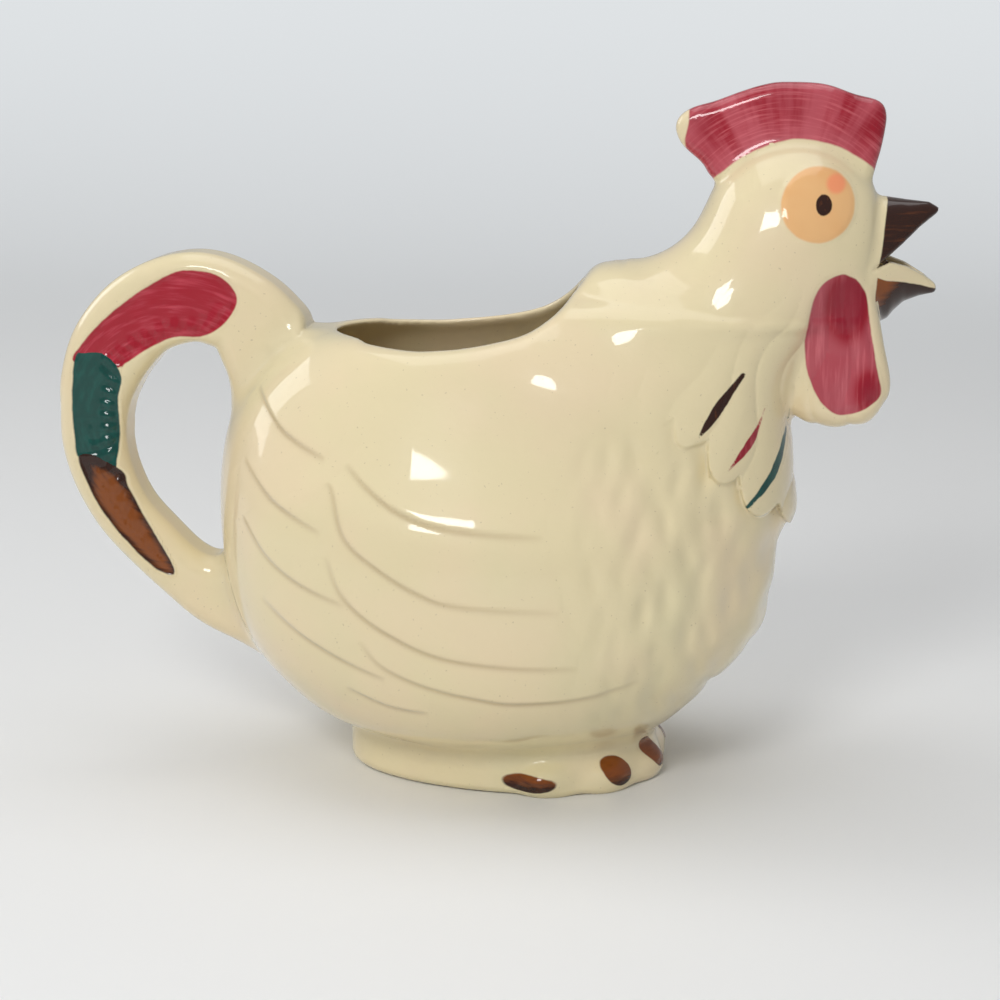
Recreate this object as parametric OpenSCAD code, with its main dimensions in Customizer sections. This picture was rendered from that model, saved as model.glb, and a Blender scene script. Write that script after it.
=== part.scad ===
// Rooster-shaped pitcher in glazed earthenware. The bowl is the bird's body, the curled tail is
// the handle, and the hollow neck and head pour through the open beak.
// +X points along the beak, +Y is the bird's left, and the origin is under the middle of the foot.

/* [Whole jug] */
// Height from the table to the top of the comb
jug_h = 191; // [175:1:215]
// Distance from the middle of the foot forward to the beak's tip
front_l = 118; // [112:1:130]
// Thickness of the cast wall
wall = 4; // [3:0.5:5]
// Thickness of the coloured glaze laid over the clay
glaze_t = 0.5; // [0.3:0.1:1]
// Space between two clay members that meet along a curve
joint_gap = 0.1; // [0.05:0.05:0.3]

/* [Bowl] */
// Length of the bowl from rump to breast
bowl_l = 156; // [146:1:166]
// Width of the bowl at its fullest
bowl_w = 118; // [100:1:130]
// Height of the filling mouth's rim at the back
rim_h = 124; // [118:1:130]
// Height that the wing stands proud of the bowl
wing_t = 1.6; // [0.8:0.2:3]

/* [Foot] */
// Height of the foot under the bowl
foot_h = 13; // [9:1:16]
// Length of the foot from its heel to the toes
foot_l = 92; // [84:1:96]
// Width of the foot across the toes
foot_w = 66; // [56:1:72]

/* [Neck and head] */
// Width of the neck at its narrowest
neck_w = 49; // [42:1:56]
// Width of the head across the eyes
head_w = 47; // [42:1:54]
// Width of the beak where it leaves the head
beak_w = 26; // [22:1:30]
// Height of the beak where it leaves the head
beak_h = 31; // [27:1:34]
// Thickness of the beak's two halves
beak_t = 3; // [2:0.5:4]
// Radius of the painted patch round the eye
eye_patch_r = 10.2; // [8:0.1:12]
// Half the length of the pupil
pupil_r = 1.6; // [1:0.1:3]

/* [Comb and wattles] */
// Thickness of the comb where it leaves the head
comb_t = 12; // [8:1:16]
// Length of the comb from back to front
comb_l = 54; // [48:1:58]
// Width over both wattles
wattle_w = 30; // [24:1:36]
// Length of the wattles from the throat to their lowest point
wattle_l = 36.5; // [34:0.5:42]

/* [Tail handle] */
// Distance from the middle of the foot back to the tail's outermost point
rear_l = 125.2; // [120:1:132]
// Thickness of the tail from side to side
tail_t = 18; // [14:1:24]
// Width of the band at the back of the curl
tail_band_w = 18.6; // [15:0.5:20]

/* [Hidden] */

// Divisions round the bowl, neck and head, and rows between two of their stations
ring_n = 48;
row_n = 2;
step_a = 360 / ring_n;
// The neck leaves the rim at this angle from the front, on both sides
seam_a = 90;
// Space under the coloured glaze, which follows the smooth form over the flat faces
glaze_lift = glaze_t * 0.4;

cream = "#f1e6c4";
maroon = "#8e2330";
green = "#1f5148";
caramel = "#a8672a";
dark_brown = "#4a2412";
peach = "#efb27c";

// General shapes

function unit(v) = v / norm(v);
function mix(p, q, s) = p + (q - p) * s;

// Value at share u between q and r on a smooth curve through p, q, r and s.
function curve(p, q, r, s, u) =
    q + (r - p) * u / 2 + (p - q * 2.5 + r * 2 - s / 2) * u * u
      + (q * 1.5 - p / 2 - r * 1.5 + s / 2) * u * u * u;

// Value at share t along a whole list, on a smooth curve through all of it.
function along(list, t) =
    let (n = len(list) - 1,
         k = max(min(floor(t * n), n - 1), 0))
    curve(list[max(k - 1, 0)], list[k], list[k + 1], list[min(k + 2, n)], t * n - k);

// A tilted egg-shaped ring. Its station is
// [back x, back z, front x, front z, half width, share of the widest place, rise of the sides,
// how much fuller its front is, how much slimmer its back is].
function ring_point(s, a) =
    let (reach = s[5] + (cos(a) > 0 ? 1 - s[5] : s[5]) * cos(a))
    [mix(s[0], s[2], reach),
     s[4] * sin(a) * (1 + cos(a) * (cos(a) > 0 ? s[7] : s[8])),
     mix(s[1], s[3], reach) + s[6] * sin(a) * sin(a)];

function ring_middle(s) = [(s[0] + s[2]) / 2, 0, (s[1] + s[3]) / 2];

// Two faces between two rows of points, from place i to place j.
function quad(a0, a1, b0, b1) = [[a0, a1, b1], [a0, b1, b0]];

// Closed clay between an outer and an inner sheet of points. Rows that wrap close round.
module sheet(outer, inner, wrap = false) {
    rows = len(outer);
    cols = len(outer[0]);
    all = rows * cols;
    last = wrap ? cols : cols - 1;
    function at(r, c, side) = side * all + r * cols + c % cols;
    faces = [
        for (r = [0 : rows - 2], c = [0 : last - 1])
            each quad(at(r, c, 0), at(r + 1, c, 0), at(r, c + 1, 0), at(r + 1, c + 1, 0)),
        for (r = [0 : rows - 2], c = [0 : last - 1])
            each quad(at(r, c, 1), at(r, c + 1, 1), at(r + 1, c, 1), at(r + 1, c + 1, 1)),
        for (c = [0 : last - 1])
            each quad(at(0, c, 0), at(0, c + 1, 0), at(0, c, 1), at(0, c + 1, 1)),
        for (c = [0 : last - 1])
            each quad(at(rows - 1, c + 1, 0), at(rows - 1, c, 0),
                      at(rows - 1, c + 1, 1), at(rows - 1, c, 1)),
        if (!wrap) for (r = [0 : rows - 2])
            each quad(at(r + 1, 0, 0), at(r, 0, 0), at(r + 1, 0, 1), at(r, 0, 1)),
        if (!wrap) for (r = [0 : rows - 2])
            each quad(at(r, cols - 1, 0), at(r + 1, cols - 1, 0),
                      at(r, cols - 1, 1), at(r + 1, cols - 1, 1))
    ];
    polyhedron(points = [for (side = [outer, inner]) for (row = side) each row], faces = faces);
}

// Solid form inside a stack of rings, closed at both ends round a middle point.
module plug(rows) {
    n = len(rows);
    cols = len(rows[0]);
    low = n * cols;
    function middle(row) = [for (p = row) 1 / cols] * row;
    polyhedron(
        points = [for (row = rows) each row, middle(rows[0]), middle(rows[n - 1])],
        faces = [
            for (r = [0 : n - 2], c = [0 : cols - 1])
                each quad(r * cols + c, (r + 1) * cols + c,
                          r * cols + (c + 1) % cols, (r + 1) * cols + (c + 1) % cols),
            for (c = [0 : cols - 1]) [low, c, (c + 1) % cols],
            for (c = [0 : cols - 1]) [low + 1, (n - 1) * cols + (c + 1) % cols, (n - 1) * cols + c]
        ]);
}

// Sheet of points on a form, lifted off it. The form is a function of angle and height share.
function lifted(form, a, t, lift) =
    let (here = form(a, t),
         across = form(a + 1, t) - form(a - 1, t),
         up = form(a, t + 0.01) - form(a, t - 0.01))
    here + unit(cross(across, up)) * lift;

// Thin layer that lies over a form. Places are rows of [angle, height share].
module layer(form, places, thick, lift) {
    sheet([for (row = places) [for (q = row) lifted(form, q[0], q[1], lift + thick)]],
          [for (row = places) [for (q = row) lifted(form, q[0], q[1], lift)]]);
}

// Places given for the left side, taken over to the right when the side is -1.
function sided(places, side) =
    side > 0 ? places
             : [for (row = places) [for (j = [len(row) - 1 : -1 : 0]) [-row[j][0], row[j][1]]]];

// Degrees and height share that one unit of length takes up on a form at a place.
function per_length(form, q) =
    [2 / norm(form(q[0] + 1, q[1]) - form(q[0] - 1, q[1])),
     0.02 / norm(form(q[0], q[1] + 0.01) - form(q[0], q[1] - 0.01))];

// Rows of places that fill a disc round a middle place.
function disc_places(form, middle, r, n = 8) =
    let (reach = per_length(form, middle) * r)
    [for (j = [-n : 2 : n]) [for (i = [-n : 2 : n])
        let (u = i / n,
             v = j / n)
        middle + [reach[0] * u * sqrt(1 - v * v / 2), reach[1] * v * sqrt(1 - u * u / 2)]]];

// Rows of places along a brush stroke that swells to its full width and thins at both ends.
function stroke_places(form, from, to, half, n = 10) =
    let (reach = per_length(form, from)[0] * half)
    [for (i = [0 : n])
        let (s = i / n,
             w = reach * (0.25 + 0.75 * sin(180 * pow(s, 0.7))))
        [for (across = [-1, 0, 1]) mix(from, to, s) + [w * across, 0]]];

// Bowl

// Stations from the floor up, as shares of half the bowl's length, the height above the foot and
// half the bowl's width: [back x, back z, front x, front z, width, widest place, rise, fuller
// front, slimmer back, spine]. The breast fills out upwards to meet the neck without a groove.
bowl_shares = [
    [-0.565, 0,     0.59,  0,     0.525, 0.5,  0,    0,     0,    0],
    [-0.68,  0.045, 0.69,  0.063, 0.70,  0.5,  0,    0,     0,    0],
    [-0.795, 0.12,  0.79,  0.135, 0.83,  0.5,  0,    0,     0,    0],
    [-0.894, 0.207, 0.89,  0.212, 0.924, 0.5,  0,    0,     0,    0],
    [-0.968, 0.333, 0.965, 0.284, 0.983, 0.5,  0,    0,     0,    0],
    [-1,     0.486, 0.987, 0.36,  1,     0.5,  0,    0,     0,    0],
    [-0.997, 0.64,  0.992, 0.414, 0.99,  0.5,  0,    0,     0,    0],
    [-0.96,  0.775, 0.998, 0.45,  0.93,  0.48, 0.02, 0.065, 0.07, 0.2],
    [-0.878, 0.883, 1.004, 0.487, 0.805, 0.44, 0.06, 0.19,  0.09, 0.5],
    [-0.77,  0.955, 1.025, 0.523, 0.686, 0.4,  0.1,  0.33,  0.14, 0.8]
];
// Rim: half width as a share of half the bowl's, its fuller front, its front and widest place,
// and its low side
rim_w_share = 0.555;
rim_full_share = 0.66;
rim_front_shares = [1.045, 0.568];
rim_back_share = -0.65;
rim_widest_share = 0.34;
rim_side_share = 0.985;
// The floor inside starts at this share of the floor outside
floor_share = 0.92;
clay_h = rim_h - foot_h;
bowl_stations = [for (q = bowl_shares)
    [q[0] * bowl_l / 2, foot_h + q[1] * clay_h, q[2] * bowl_l / 2, foot_h + q[3] * clay_h,
     q[4] * bowl_w / 2, q[5], q[6] * clay_h, q[7], q[8]]];
rim_station = [rim_back_share * bowl_l / 2, rim_h,
               rim_front_shares[0] * bowl_l / 2, foot_h + rim_front_shares[1] * clay_h,
               rim_w_share * bowl_w / 2, rim_widest_share, 0, rim_full_share, 0];
rim_side_z = foot_h + rim_side_share * clay_h;
bowl_core = [0, 0, foot_h + clay_h / 2];

function rim_point(a) =
    let (p = ring_point(rim_station, a),
         end_z = cos(a) > 0 ? rim_station[3] : rim_station[1])
    [p[0], p[1], mix(rim_side_z, end_z, pow(abs(cos(a)), cos(a) > 0 ? 1.5 : 2))];

function bowl_form(a, t) = along([for (s = bowl_stations) ring_point(s, a), rim_point(a)], t);
function bowl_spine(t) =
    along([for (k = [0 : len(bowl_shares) - 1])
               mix(bowl_core, ring_middle(bowl_stations[k]), bowl_shares[k][9]),
           ring_middle(rim_station)], t);
function inward(p, core) = p + unit(core - p) * wall;

bowl_rows = len(bowl_shares) * row_n;
function bowl_outside(grow = 0) =
    [for (r = [0 : bowl_rows]) [for (c = [0 : ring_n - 1])
        let (p = bowl_form(c * step_a, r / bowl_rows))
        p - unit(bowl_spine(r / bowl_rows) - p) * grow]];
function bowl_inside() =
    [for (r = [0 : bowl_rows]) [for (c = [0 : ring_n - 1])
        let (p = bowl_form(c * step_a, r / bowl_rows))
        r == 0 ? [p[0] * floor_share, p[1] * floor_share, foot_h + wall]
               : inward(p, bowl_spine(r / bowl_rows))]];

// Cast body of the bird, open at the top from the tail to the neck.
module bowl() {
    outer = bowl_outside();
    inner = bowl_inside();
    all = (bowl_rows + 1) * ring_n;
    function at(r, c, side) = side * all + r * ring_n + c % ring_n;
    faces = [
        for (r = [0 : bowl_rows - 1], c = [0 : ring_n - 1])
            each quad(at(r, c, 0), at(r + 1, c, 0), at(r, c + 1, 0), at(r + 1, c + 1, 0)),
        for (r = [0 : bowl_rows - 1], c = [0 : ring_n - 1])
            each quad(at(r, c, 1), at(r, c + 1, 1), at(r + 1, c, 1), at(r + 1, c + 1, 1)),
        for (c = [0 : ring_n - 1])
            each quad(at(bowl_rows, c + 1, 0), at(bowl_rows, c, 0),
                      at(bowl_rows, c + 1, 1), at(bowl_rows, c, 1)),
        [for (c = [0 : ring_n - 1]) at(0, c, 0)],
        [for (c = [0 : ring_n - 1]) at(0, ring_n - 1 - c, 1)]
    ];
    color(cream)
        polyhedron(points = [for (side = [outer, inner]) for (row = side) each row],
                   faces = faces);
}

// Neck

// Stations above the collar, as shares of the beak's reach, the height from rim to comb and half
// the neck's width: [back x, back z, front x, front z, width].
neck_shares = [
    [0.322, 0.29,  0.676, -0.3,   1.16],
    [0.39,  0.337, 0.7,   -0.172, 1.06],
    [0.44,  0.418, 0.733, -0.06,  1],
    [0.47,  0.515, 0.767, 0.022,  0.98]
];
// Middle of the collar that bridges the filling mouth, and the spine under it
collar_share = [0.246, 0.275];
collar_core_share = [0.44, -0.09];
upper_h = jug_h - rim_h;
function up(x_share, z_share) = [x_share * front_l, 0, rim_h + z_share * upper_h];

neck_stations = [for (q = neck_shares)
    let (back = up(q[0], q[1]),
         front = up(q[2], q[3]))
    [back[0], back[2], front[0], front[2], q[4] * neck_w / 2, 0.5, 0, 0, 0]];

// Share of the way from the seam to the middle of the collar's back
function collar_turn(a) =
    let (b = a > 180 ? 360 - a : a)
    max(b - seam_a, 0) / (180 - seam_a);
function collar_point(a) =
    let (b = collar_turn(a) * 90,
         start = rim_point(a > 180 ? -seam_a : seam_a),
         back = up(collar_share[0], collar_share[1]))
    b == 0 ? rim_point(a)
           : [mix(start[0], back[0], pow(sin(b), 0.55)),
              start[1] * cos(b),
              mix(start[2], back[2], pow(sin(b), 1.2))];

function neck_form(a, t) = along([collar_point(a), for (s = neck_stations) ring_point(s, a)], t);
function neck_spine(a, t) =
    along([mix(ring_middle(rim_station), up(collar_core_share[0], collar_core_share[1]),
               collar_turn(a)),
           for (s = neck_stations) ring_middle(s)], t);

neck_rows = 12;
function neck_outside(grow = 0) =
    [for (r = [0 : neck_rows]) [for (c = [0 : ring_n - 1])
        let (a = c * step_a,
             p = neck_form(a, r / neck_rows))
        p - unit(neck_spine(a, r / neck_rows) - p) * grow]];
function neck_inside() =
    [for (r = [0 : neck_rows]) [for (c = [0 : ring_n - 1])
        let (a = c * step_a)
        inward(neck_form(a, r / neck_rows), neck_spine(a, r / neck_rows))]];

module neck() {
    color(cream) sheet(neck_outside(), neck_inside(), wrap = true);
}

// Head

// Stations over the crown, as shares like the neck's, with half the head's width. The last one,
// at the root of the beak, takes its width and height from the beak.
head_shares = [
    [0.496, 0.612, 0.792, 0.06,  1],
    [0.55,  0.709, 0.81,  0.075, 0.97],
    [0.631, 0.769, 0.822, 0.082, 0.9],
    [0.72,  0.769, 0.83,  0.09,  0.81],
    [0.805, 0.687, 0.836, 0.09,  0.68]
];
beak_root_shares = [0.873, 0.557, 0.843];
beak_top = up(beak_root_shares[0], beak_root_shares[1]);
mouth_station = [beak_top[0], beak_top[2], beak_root_shares[2] * front_l, beak_top[2] - beak_h,
                 beak_w / 2, 0.5, 0, 0, 0];
head_stations = [
    neck_stations[len(neck_stations) - 1],
    for (q = head_shares)
        let (back = up(q[0], q[1]),
             front = up(q[2], q[3]))
        [back[0], back[2], front[0], front[2], q[4] * head_w / 2, 0.5, 0, 0, 0],
    mouth_station
];
function head_form(a, t) = along([for (s = head_stations) ring_point(s, a)], t);
function head_spine(t) = along([for (s = head_stations) ring_middle(s)], t);

head_rows = (len(head_stations) - 1) * row_n;
function head_outside(grow = 0) =
    [for (r = [0 : head_rows]) [for (c = [0 : ring_n - 1])
        let (p = head_form(c * step_a, r / head_rows))
        p - unit(head_spine(r / head_rows) - p) * grow]];
function head_inside() =
    [for (r = [0 : head_rows]) [for (c = [0 : ring_n - 1])
        inward(head_form(c * step_a, r / head_rows), head_spine(r / head_rows))]];

module head() {
    color(cream) sheet(head_outside(), head_inside(), wrap = true);
}

// Beak

// The two halves part at this angle from the throat, on both sides
corner_a = 10 * step_a;
beak_rows = 8;
tip_r = beak_t * 0.7;
upper_tip = [front_l * 0.995, 0, rim_h + 0.505 * upper_h];
lower_tip = [front_l, 0, rim_h + 0.21 * upper_h];
// Rise of the lower half's edges in the middle of their length
lip_rise = beak_h * 0.08;

function beak_form(a, s, tip, rise) =
    let (root = ring_point(mouth_station, a))
    [mix(root[0], tip[0], s),
     mix(root[1], tip_r * sin(a), pow(s, 1.4)),
     mix(root[2], tip[2] - tip_r * cos(a), s) + rise * sin(180 * s) * abs(sin(a))];

// Half of the beak: a thin shell from the mouth's ring to the tip, between two angles.
module beak_half(from, to, tip, rise) {
    function places(depth) =
        [for (r = [0 : beak_rows]) [for (c = [0 : (to - from) / step_a])
            let (s = r / beak_rows,
                 p = beak_form(from + c * step_a, s, tip, rise),
                 core = mix(ring_middle(mouth_station), tip, s))
            p + unit(core - p) * depth * (1 - 0.6 * s)]];
    sheet(places(0), places(beak_t));
}
module upper_beak() {
    color(dark_brown) beak_half(corner_a, 360 - corner_a, upper_tip, 0);
}
module lower_beak() {
    color(caramel) beak_half(-corner_a, corner_a, lower_tip, lip_rise);
}

// Comb

// Middles of the crest's edge and of its root, as shares of the comb's length and of the height
// from the crown to the crest
comb_top_shares = [[0.07, 0.38], [0.17, 0.54], [0.3, 0.75], [0.43, 0.9], [0.56, 1],
                   [0.7, 0.96], [0.83, 0.77], [0.93, 0.5], [0.93, 0.04], [0.88, -0.42]];
comb_root_shares = [[0.24, -0.7], [0.28, -0.6], [0.35, -0.37], [0.45, -0.25], [0.56, -0.2],
                    [0.67, -0.3], [0.76, -0.46], [0.81, -0.62], [0.83, -0.75], [0.84, -0.83]];
comb_edge_r = comb_t * 0.29;
comb_back = up(0.402, 0.769);
crest_h = jug_h - comb_back[2] - comb_edge_r;
function comb_place(q) = comb_back + [q[0] * comb_l, 0, q[1] * crest_h];

module comb() {
    color(maroon) difference() {
        for (k = [0 : len(comb_top_shares) - 2])
            hull() for (i = [k, k + 1]) {
                translate(comb_place(comb_top_shares[i])) sphere(r = comb_edge_r, $fn = 16);
                translate(comb_place(comb_root_shares[i]))
                    scale([0.5, 1, 0.5]) sphere(r = comb_t / 2, $fn = 16);
            }
        plug(head_outside(joint_gap));
    }
}

// Wattles

// Middles and radii down the throat and back under the neck, as shares of the beak's reach and
// of the wattles' length
wattle_shares = [[0.8, 0.1, 0.2], [0.797, 0.27, 0.265], [0.797, 0.42, 0.3],
                 [0.799, 0.56, 0.315], [0.8, 0.68, 0.32], [0.775, 0.69, 0.31],
                 [0.746, 0.7, 0.29], [0.716, 0.67, 0.27], [0.7, 0.53, 0.25]];
wattle_top = up(0, 0.21)[2];
wattle_bevel = wattle_w * 0.1;

// One lobe, from the middle of the throat out to the right.
module wattle() {
    difference() {
        for (k = [0 : len(wattle_shares) - 2])
            hull() for (q = [wattle_shares[k], wattle_shares[k + 1]])
                translate([q[0] * front_l, 0, wattle_top - q[1] * wattle_l])
                    rotate([90, 0, 0]) {
                        r = q[2] * wattle_l;
                        cylinder(r = r, h = wattle_w / 2 - wattle_bevel, $fn = 24);
                        cylinder(r = r - wattle_bevel, h = wattle_w / 2, $fn = 24);
                    }
        plug(neck_outside(joint_gap));
        plug(head_outside(joint_gap));
        hull() beak_half(-corner_a, corner_a, lower_tip, lip_rise);
    }
}
module wattle_right() {
    color(cream) wattle();
}
module wattle_left() {
    color(cream) mirror([0, 1, 0]) wattle();
}

// Tail

// Middles and half widths of the band, from the rim back round the curl to the rump, as shares
// of the tail's reach, the rim's height and half the band's width
tail_shares = [[0.455, 0.976, 0.97], [0.559, 1.028, 1.27], [0.671, 1.064, 1.355],
               [0.787, 1.031, 1.32], [0.867, 0.955, 1.29], [0.909, 0.873, 1.16],
               [0.923, 0.806, 1.04], [0.926, 0.734, 1], [0.907, 0.652, 0.95],
               [0.865, 0.568, 0.88], [0.8, 0.496, 0.86], [0.729, 0.432, 0.86],
               [0.647, 0.383, 1.03], [0.559, 0.355, 1.18]];
// Middle and half width of the web that fills the corner between the band and the bowl's shoulder
web_share = [0.565, 0.84, 0.76];
tail_bevel = tail_t * 0.14;
tail_reach = max([for (q = tail_shares) q[0]]);
function tail_station(q) =
    [-q[0] / tail_reach * (rear_l - tail_band_w / 2), q[1] * rim_h, q[2] * tail_band_w / 2];
tail_stations = [for (q = tail_shares) tail_station(q)];

// Round disc across the tail with bevelled edges
module tail_disc(s) {
    translate([s[0], 0, s[1]]) rotate([90, 0, 0]) {
        cylinder(r = s[2], h = tail_t - 2 * tail_bevel, center = true, $fn = 24);
        cylinder(r = s[2] - tail_bevel, h = tail_t, center = true, $fn = 24);
    }
}
module tail_handle() {
    color(cream) difference() {
        union() {
            for (k = [0 : len(tail_stations) - 2])
                hull() for (s = [tail_stations[k], tail_stations[k + 1]]) tail_disc(s);
            hull() for (s = [tail_stations[1], tail_station(web_share)]) tail_disc(s);
        }
        plug(bowl_outside(joint_gap));
    }
}

// Glaze fields on both sides of the tail. The share t runs along the tail's stations.
glaze_inset = tail_bevel * 1.4;
function tail_edge(t, side) =
    let (s = along(tail_stations, t),
         way = along(tail_stations, t + 0.01) - along(tail_stations, t - 0.01),
         n = unit([-way[1], way[0]]))
    [s[0], s[1]] + n * side * (s[2] - glaze_inset);

module tail_glaze(from, to) {
    n = 12;
    ts = [for (i = [0 : n]) mix(from, to, i / n)];
    outline = [for (t = ts) tail_edge(t, 1), for (i = [n : -1 : 0]) tail_edge(ts[i], -1)];
    for (side = [-1, 1])
        translate([0, side * (tail_t / 2 + glaze_lift + glaze_t / 2), 0])
            rotate([90, 0, 0])
                linear_extrude(height = glaze_t, center = true)
                    polygon(outline);
}
// Shares along the tail where each colour starts and ends
red_run_share = [0.125, 0.36];
green_run_share = [0.37, 0.6];
brown_run_share = [0.61, 0.82];
module tail_glaze_red() {
    color(maroon) tail_glaze(red_run_share[0], red_run_share[1]);
}
module tail_glaze_green() {
    color(green) tail_glaze(green_run_share[0], green_run_share[1]);
}
module tail_glaze_brown() {
    color(caramel) tail_glaze(brown_run_share[0], brown_run_share[1]);
}

// Foot

// The foot's heel lies this share of its length behind the middle
heel_share = 0.456;
toe_angles = [84, 50, 20];
toe_bulge_share = 0.035;
function foot_point(a, grow = 0) =
    let (bulge = max([for (t = toe_angles) for (side = [-1, 1])
                          exp(-pow((a - side * t) / 9, 2))]),
         reach = 0.62 + (cos(a) > 0 ? 0.38 : 0.62) * cos(a),
         k = 1 - toe_bulge_share + toe_bulge_share * bulge)
    [(mix(-heel_share, 1 - heel_share, reach)) * foot_l * k + grow * cos(a),
     sin(a) * foot_w / 2 * k + grow * sin(a)];

module foot() {
    color(cream)
        linear_extrude(height = foot_h)
            polygon([for (c = [0 : 95]) foot_point(c * 3.75 - 180)]);
}

// Brown glaze on the toes: [toe angle, half width in degrees, low and high share of the foot].
claw_shares = [[84, 12, 0.12, 0.4], [50, 8, 0.12, 0.62], [20, 7, 0.15, 0.68]];
function claw_places(q, side, depth) =
    [for (z = [q[2], q[3]]) [for (i = [-3 : 3])
        let (p = foot_point(side * q[0] + i * q[1] / 3, depth))
        [p[0], p[1], z * foot_h]]];
module claws() {
    color(dark_brown)
        for (q = claw_shares, side = [-1, 1])
            sheet(claw_places(q, side, glaze_lift + glaze_t), claw_places(q, side, glaze_lift));
}

// Wings

// Low and high edge of the folded wing on the bowl: [angle from the front, low and high share]
wing_shares = [[62, 0.34, 0.53], [74, 0.27, 0.62], [88, 0.24, 0.7], [102, 0.25, 0.74],
               [116, 0.3, 0.73], [128, 0.4, 0.68], [134, 0.47, 0.6]];
wing_cols = 12;
wing_rows = 6;
wing_places = [for (j = [0 : wing_rows]) [for (i = [0 : wing_cols])
    let (q = along(wing_shares, i / wing_cols))
    [q[0], mix(q[1], q[2], j / wing_rows)]]];
bowl_skin = function(a, t) bowl_form(a, t);

module wing_right() {
    color(cream) layer(bowl_skin, sided(wing_places, -1), wing_t, glaze_lift);
}
module wing_left() {
    color(cream) layer(bowl_skin, wing_places, wing_t, glaze_lift);
}

// Painted fields on the head, neck and wattles

head_skin = function(a, t) head_form(a, t);
neck_skin = function(a, t) neck_form(a, t);
eye_place = [107.5, 0.575];
module eye_patches() {
    color(peach)
        for (side = [-1, 1])
            layer(head_skin, sided(disc_places(head_skin, eye_place, eye_patch_r), side),
                  glaze_t, glaze_lift);
}
module pupils() {
    color(dark_brown)
        for (side = [-1, 1])
            layer(head_skin, sided(disc_places(head_skin, eye_place, pupil_r, 4), side),
                  glaze_t, glaze_lift * 2 + glaze_t);
}

// Middles and radii of the red field on each wattle, shares like the wattles' own
wattle_field_shares = [[0.805, 0.21, 0.12], [0.797, 0.4, 0.19], [0.793, 0.63, 0.22]];
module wattle_glaze() {
    color(maroon)
        for (side = [-1, 1])
            translate([0, side * (wattle_w / 2 + glaze_lift + glaze_t / 2), 0])
                rotate([90, 0, 0])
                    linear_extrude(height = glaze_t, center = true)
                        hull()
                            for (q = wattle_field_shares)
                                translate([q[0] * front_l, wattle_top - q[1] * wattle_l])
                                    circle(r = q[2] * wattle_l, $fn = 32);
}

// Brush strokes on both sides of the hackle. Both ends are [angle, height share].
module hackle_stroke(from, to, half) {
    for (side = [-1, 1])
        layer(neck_skin, sided(stroke_places(neck_skin, from, to, half), side),
              glaze_t, glaze_lift);
}
module hackle_stroke_brown() {
    color(caramel) hackle_stroke([50, 0.075], [70, 0.25], neck_w * 0.05);
}
module hackle_stroke_red() {
    color(maroon) hackle_stroke([40, 0.03], [44, 0.2], neck_w * 0.03);
}
module hackle_stroke_green() {
    color(green) hackle_stroke([30, 0.015], [30, 0.25], neck_w * 0.045);
}

bowl();
neck();
head();
upper_beak();
lower_beak();
comb();
wattle_right();
wattle_left();
tail_handle();
foot();
wing_right();
wing_left();
eye_patches();
pupils();
wattle_glaze();
tail_glaze_red();
tail_glaze_green();
tail_glaze_brown();
hackle_stroke_brown();
hackle_stroke_red();
hackle_stroke_green();
claws();
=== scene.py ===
import math

import bpy
import numpy as np
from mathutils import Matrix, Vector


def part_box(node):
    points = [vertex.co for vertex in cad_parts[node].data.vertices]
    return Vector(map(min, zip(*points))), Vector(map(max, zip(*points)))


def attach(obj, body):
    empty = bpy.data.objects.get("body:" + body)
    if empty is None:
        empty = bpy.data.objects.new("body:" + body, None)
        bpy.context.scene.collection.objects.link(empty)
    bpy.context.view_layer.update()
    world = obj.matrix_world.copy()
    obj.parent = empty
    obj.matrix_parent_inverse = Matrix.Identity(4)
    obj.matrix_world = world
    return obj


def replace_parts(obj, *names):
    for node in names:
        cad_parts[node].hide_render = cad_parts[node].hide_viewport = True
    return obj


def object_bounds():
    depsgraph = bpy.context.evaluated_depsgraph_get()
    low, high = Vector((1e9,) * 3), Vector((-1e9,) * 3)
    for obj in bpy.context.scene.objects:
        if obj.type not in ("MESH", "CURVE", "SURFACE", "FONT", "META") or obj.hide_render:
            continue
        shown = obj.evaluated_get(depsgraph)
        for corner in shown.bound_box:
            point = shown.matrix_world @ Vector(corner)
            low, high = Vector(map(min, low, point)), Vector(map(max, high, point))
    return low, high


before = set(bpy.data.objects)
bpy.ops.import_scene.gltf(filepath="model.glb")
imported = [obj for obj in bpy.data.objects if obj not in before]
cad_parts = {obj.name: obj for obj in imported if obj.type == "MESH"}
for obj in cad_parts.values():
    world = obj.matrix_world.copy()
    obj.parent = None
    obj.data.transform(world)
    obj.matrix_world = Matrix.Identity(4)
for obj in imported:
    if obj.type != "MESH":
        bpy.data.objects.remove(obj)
cad_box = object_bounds()

# The bowl is the bird's round body, slip cast in a two-part plaster mould that parts along the
# middle plane, so each outside is a height over the side view. The clay members are fields in
# millimetres, negative inside the clay, and one even skin is later drawn over all of them.
MM = 0.001


def corners(node):
    """Lowest and highest corner of a node, in millimetres."""
    return [np.array(corner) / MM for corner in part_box(node)]


def along(rows, t):
    """Row at station t on a smooth curve through all the rows."""
    rows = np.asarray(rows, float)
    k = np.clip(np.floor(t).astype(int), 0, len(rows) - 2)
    u = (t - k)[..., None]
    p, q, r, s = (rows[np.clip(k + j, 0, len(rows) - 1)] for j in (-1, 0, 1, 2))
    return (q + (r - p) * u / 2 + (p - q * 2.5 + r * 2 - s / 2) * u**2
            + (q * 1.5 - p / 2 - r * 1.5 + s / 2) * u**3)


def smooth_line(points, count, closed=False):
    """That many points along a smooth curve through the given ones."""
    rows = np.asarray(points, float)
    if closed:
        rows = np.concatenate([rows[-1:], rows, rows[:2]])
        return along(rows, np.linspace(1, len(rows) - 2, count, endpoint=False))
    return along(rows, np.linspace(0, len(rows) - 1, count))


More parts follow.
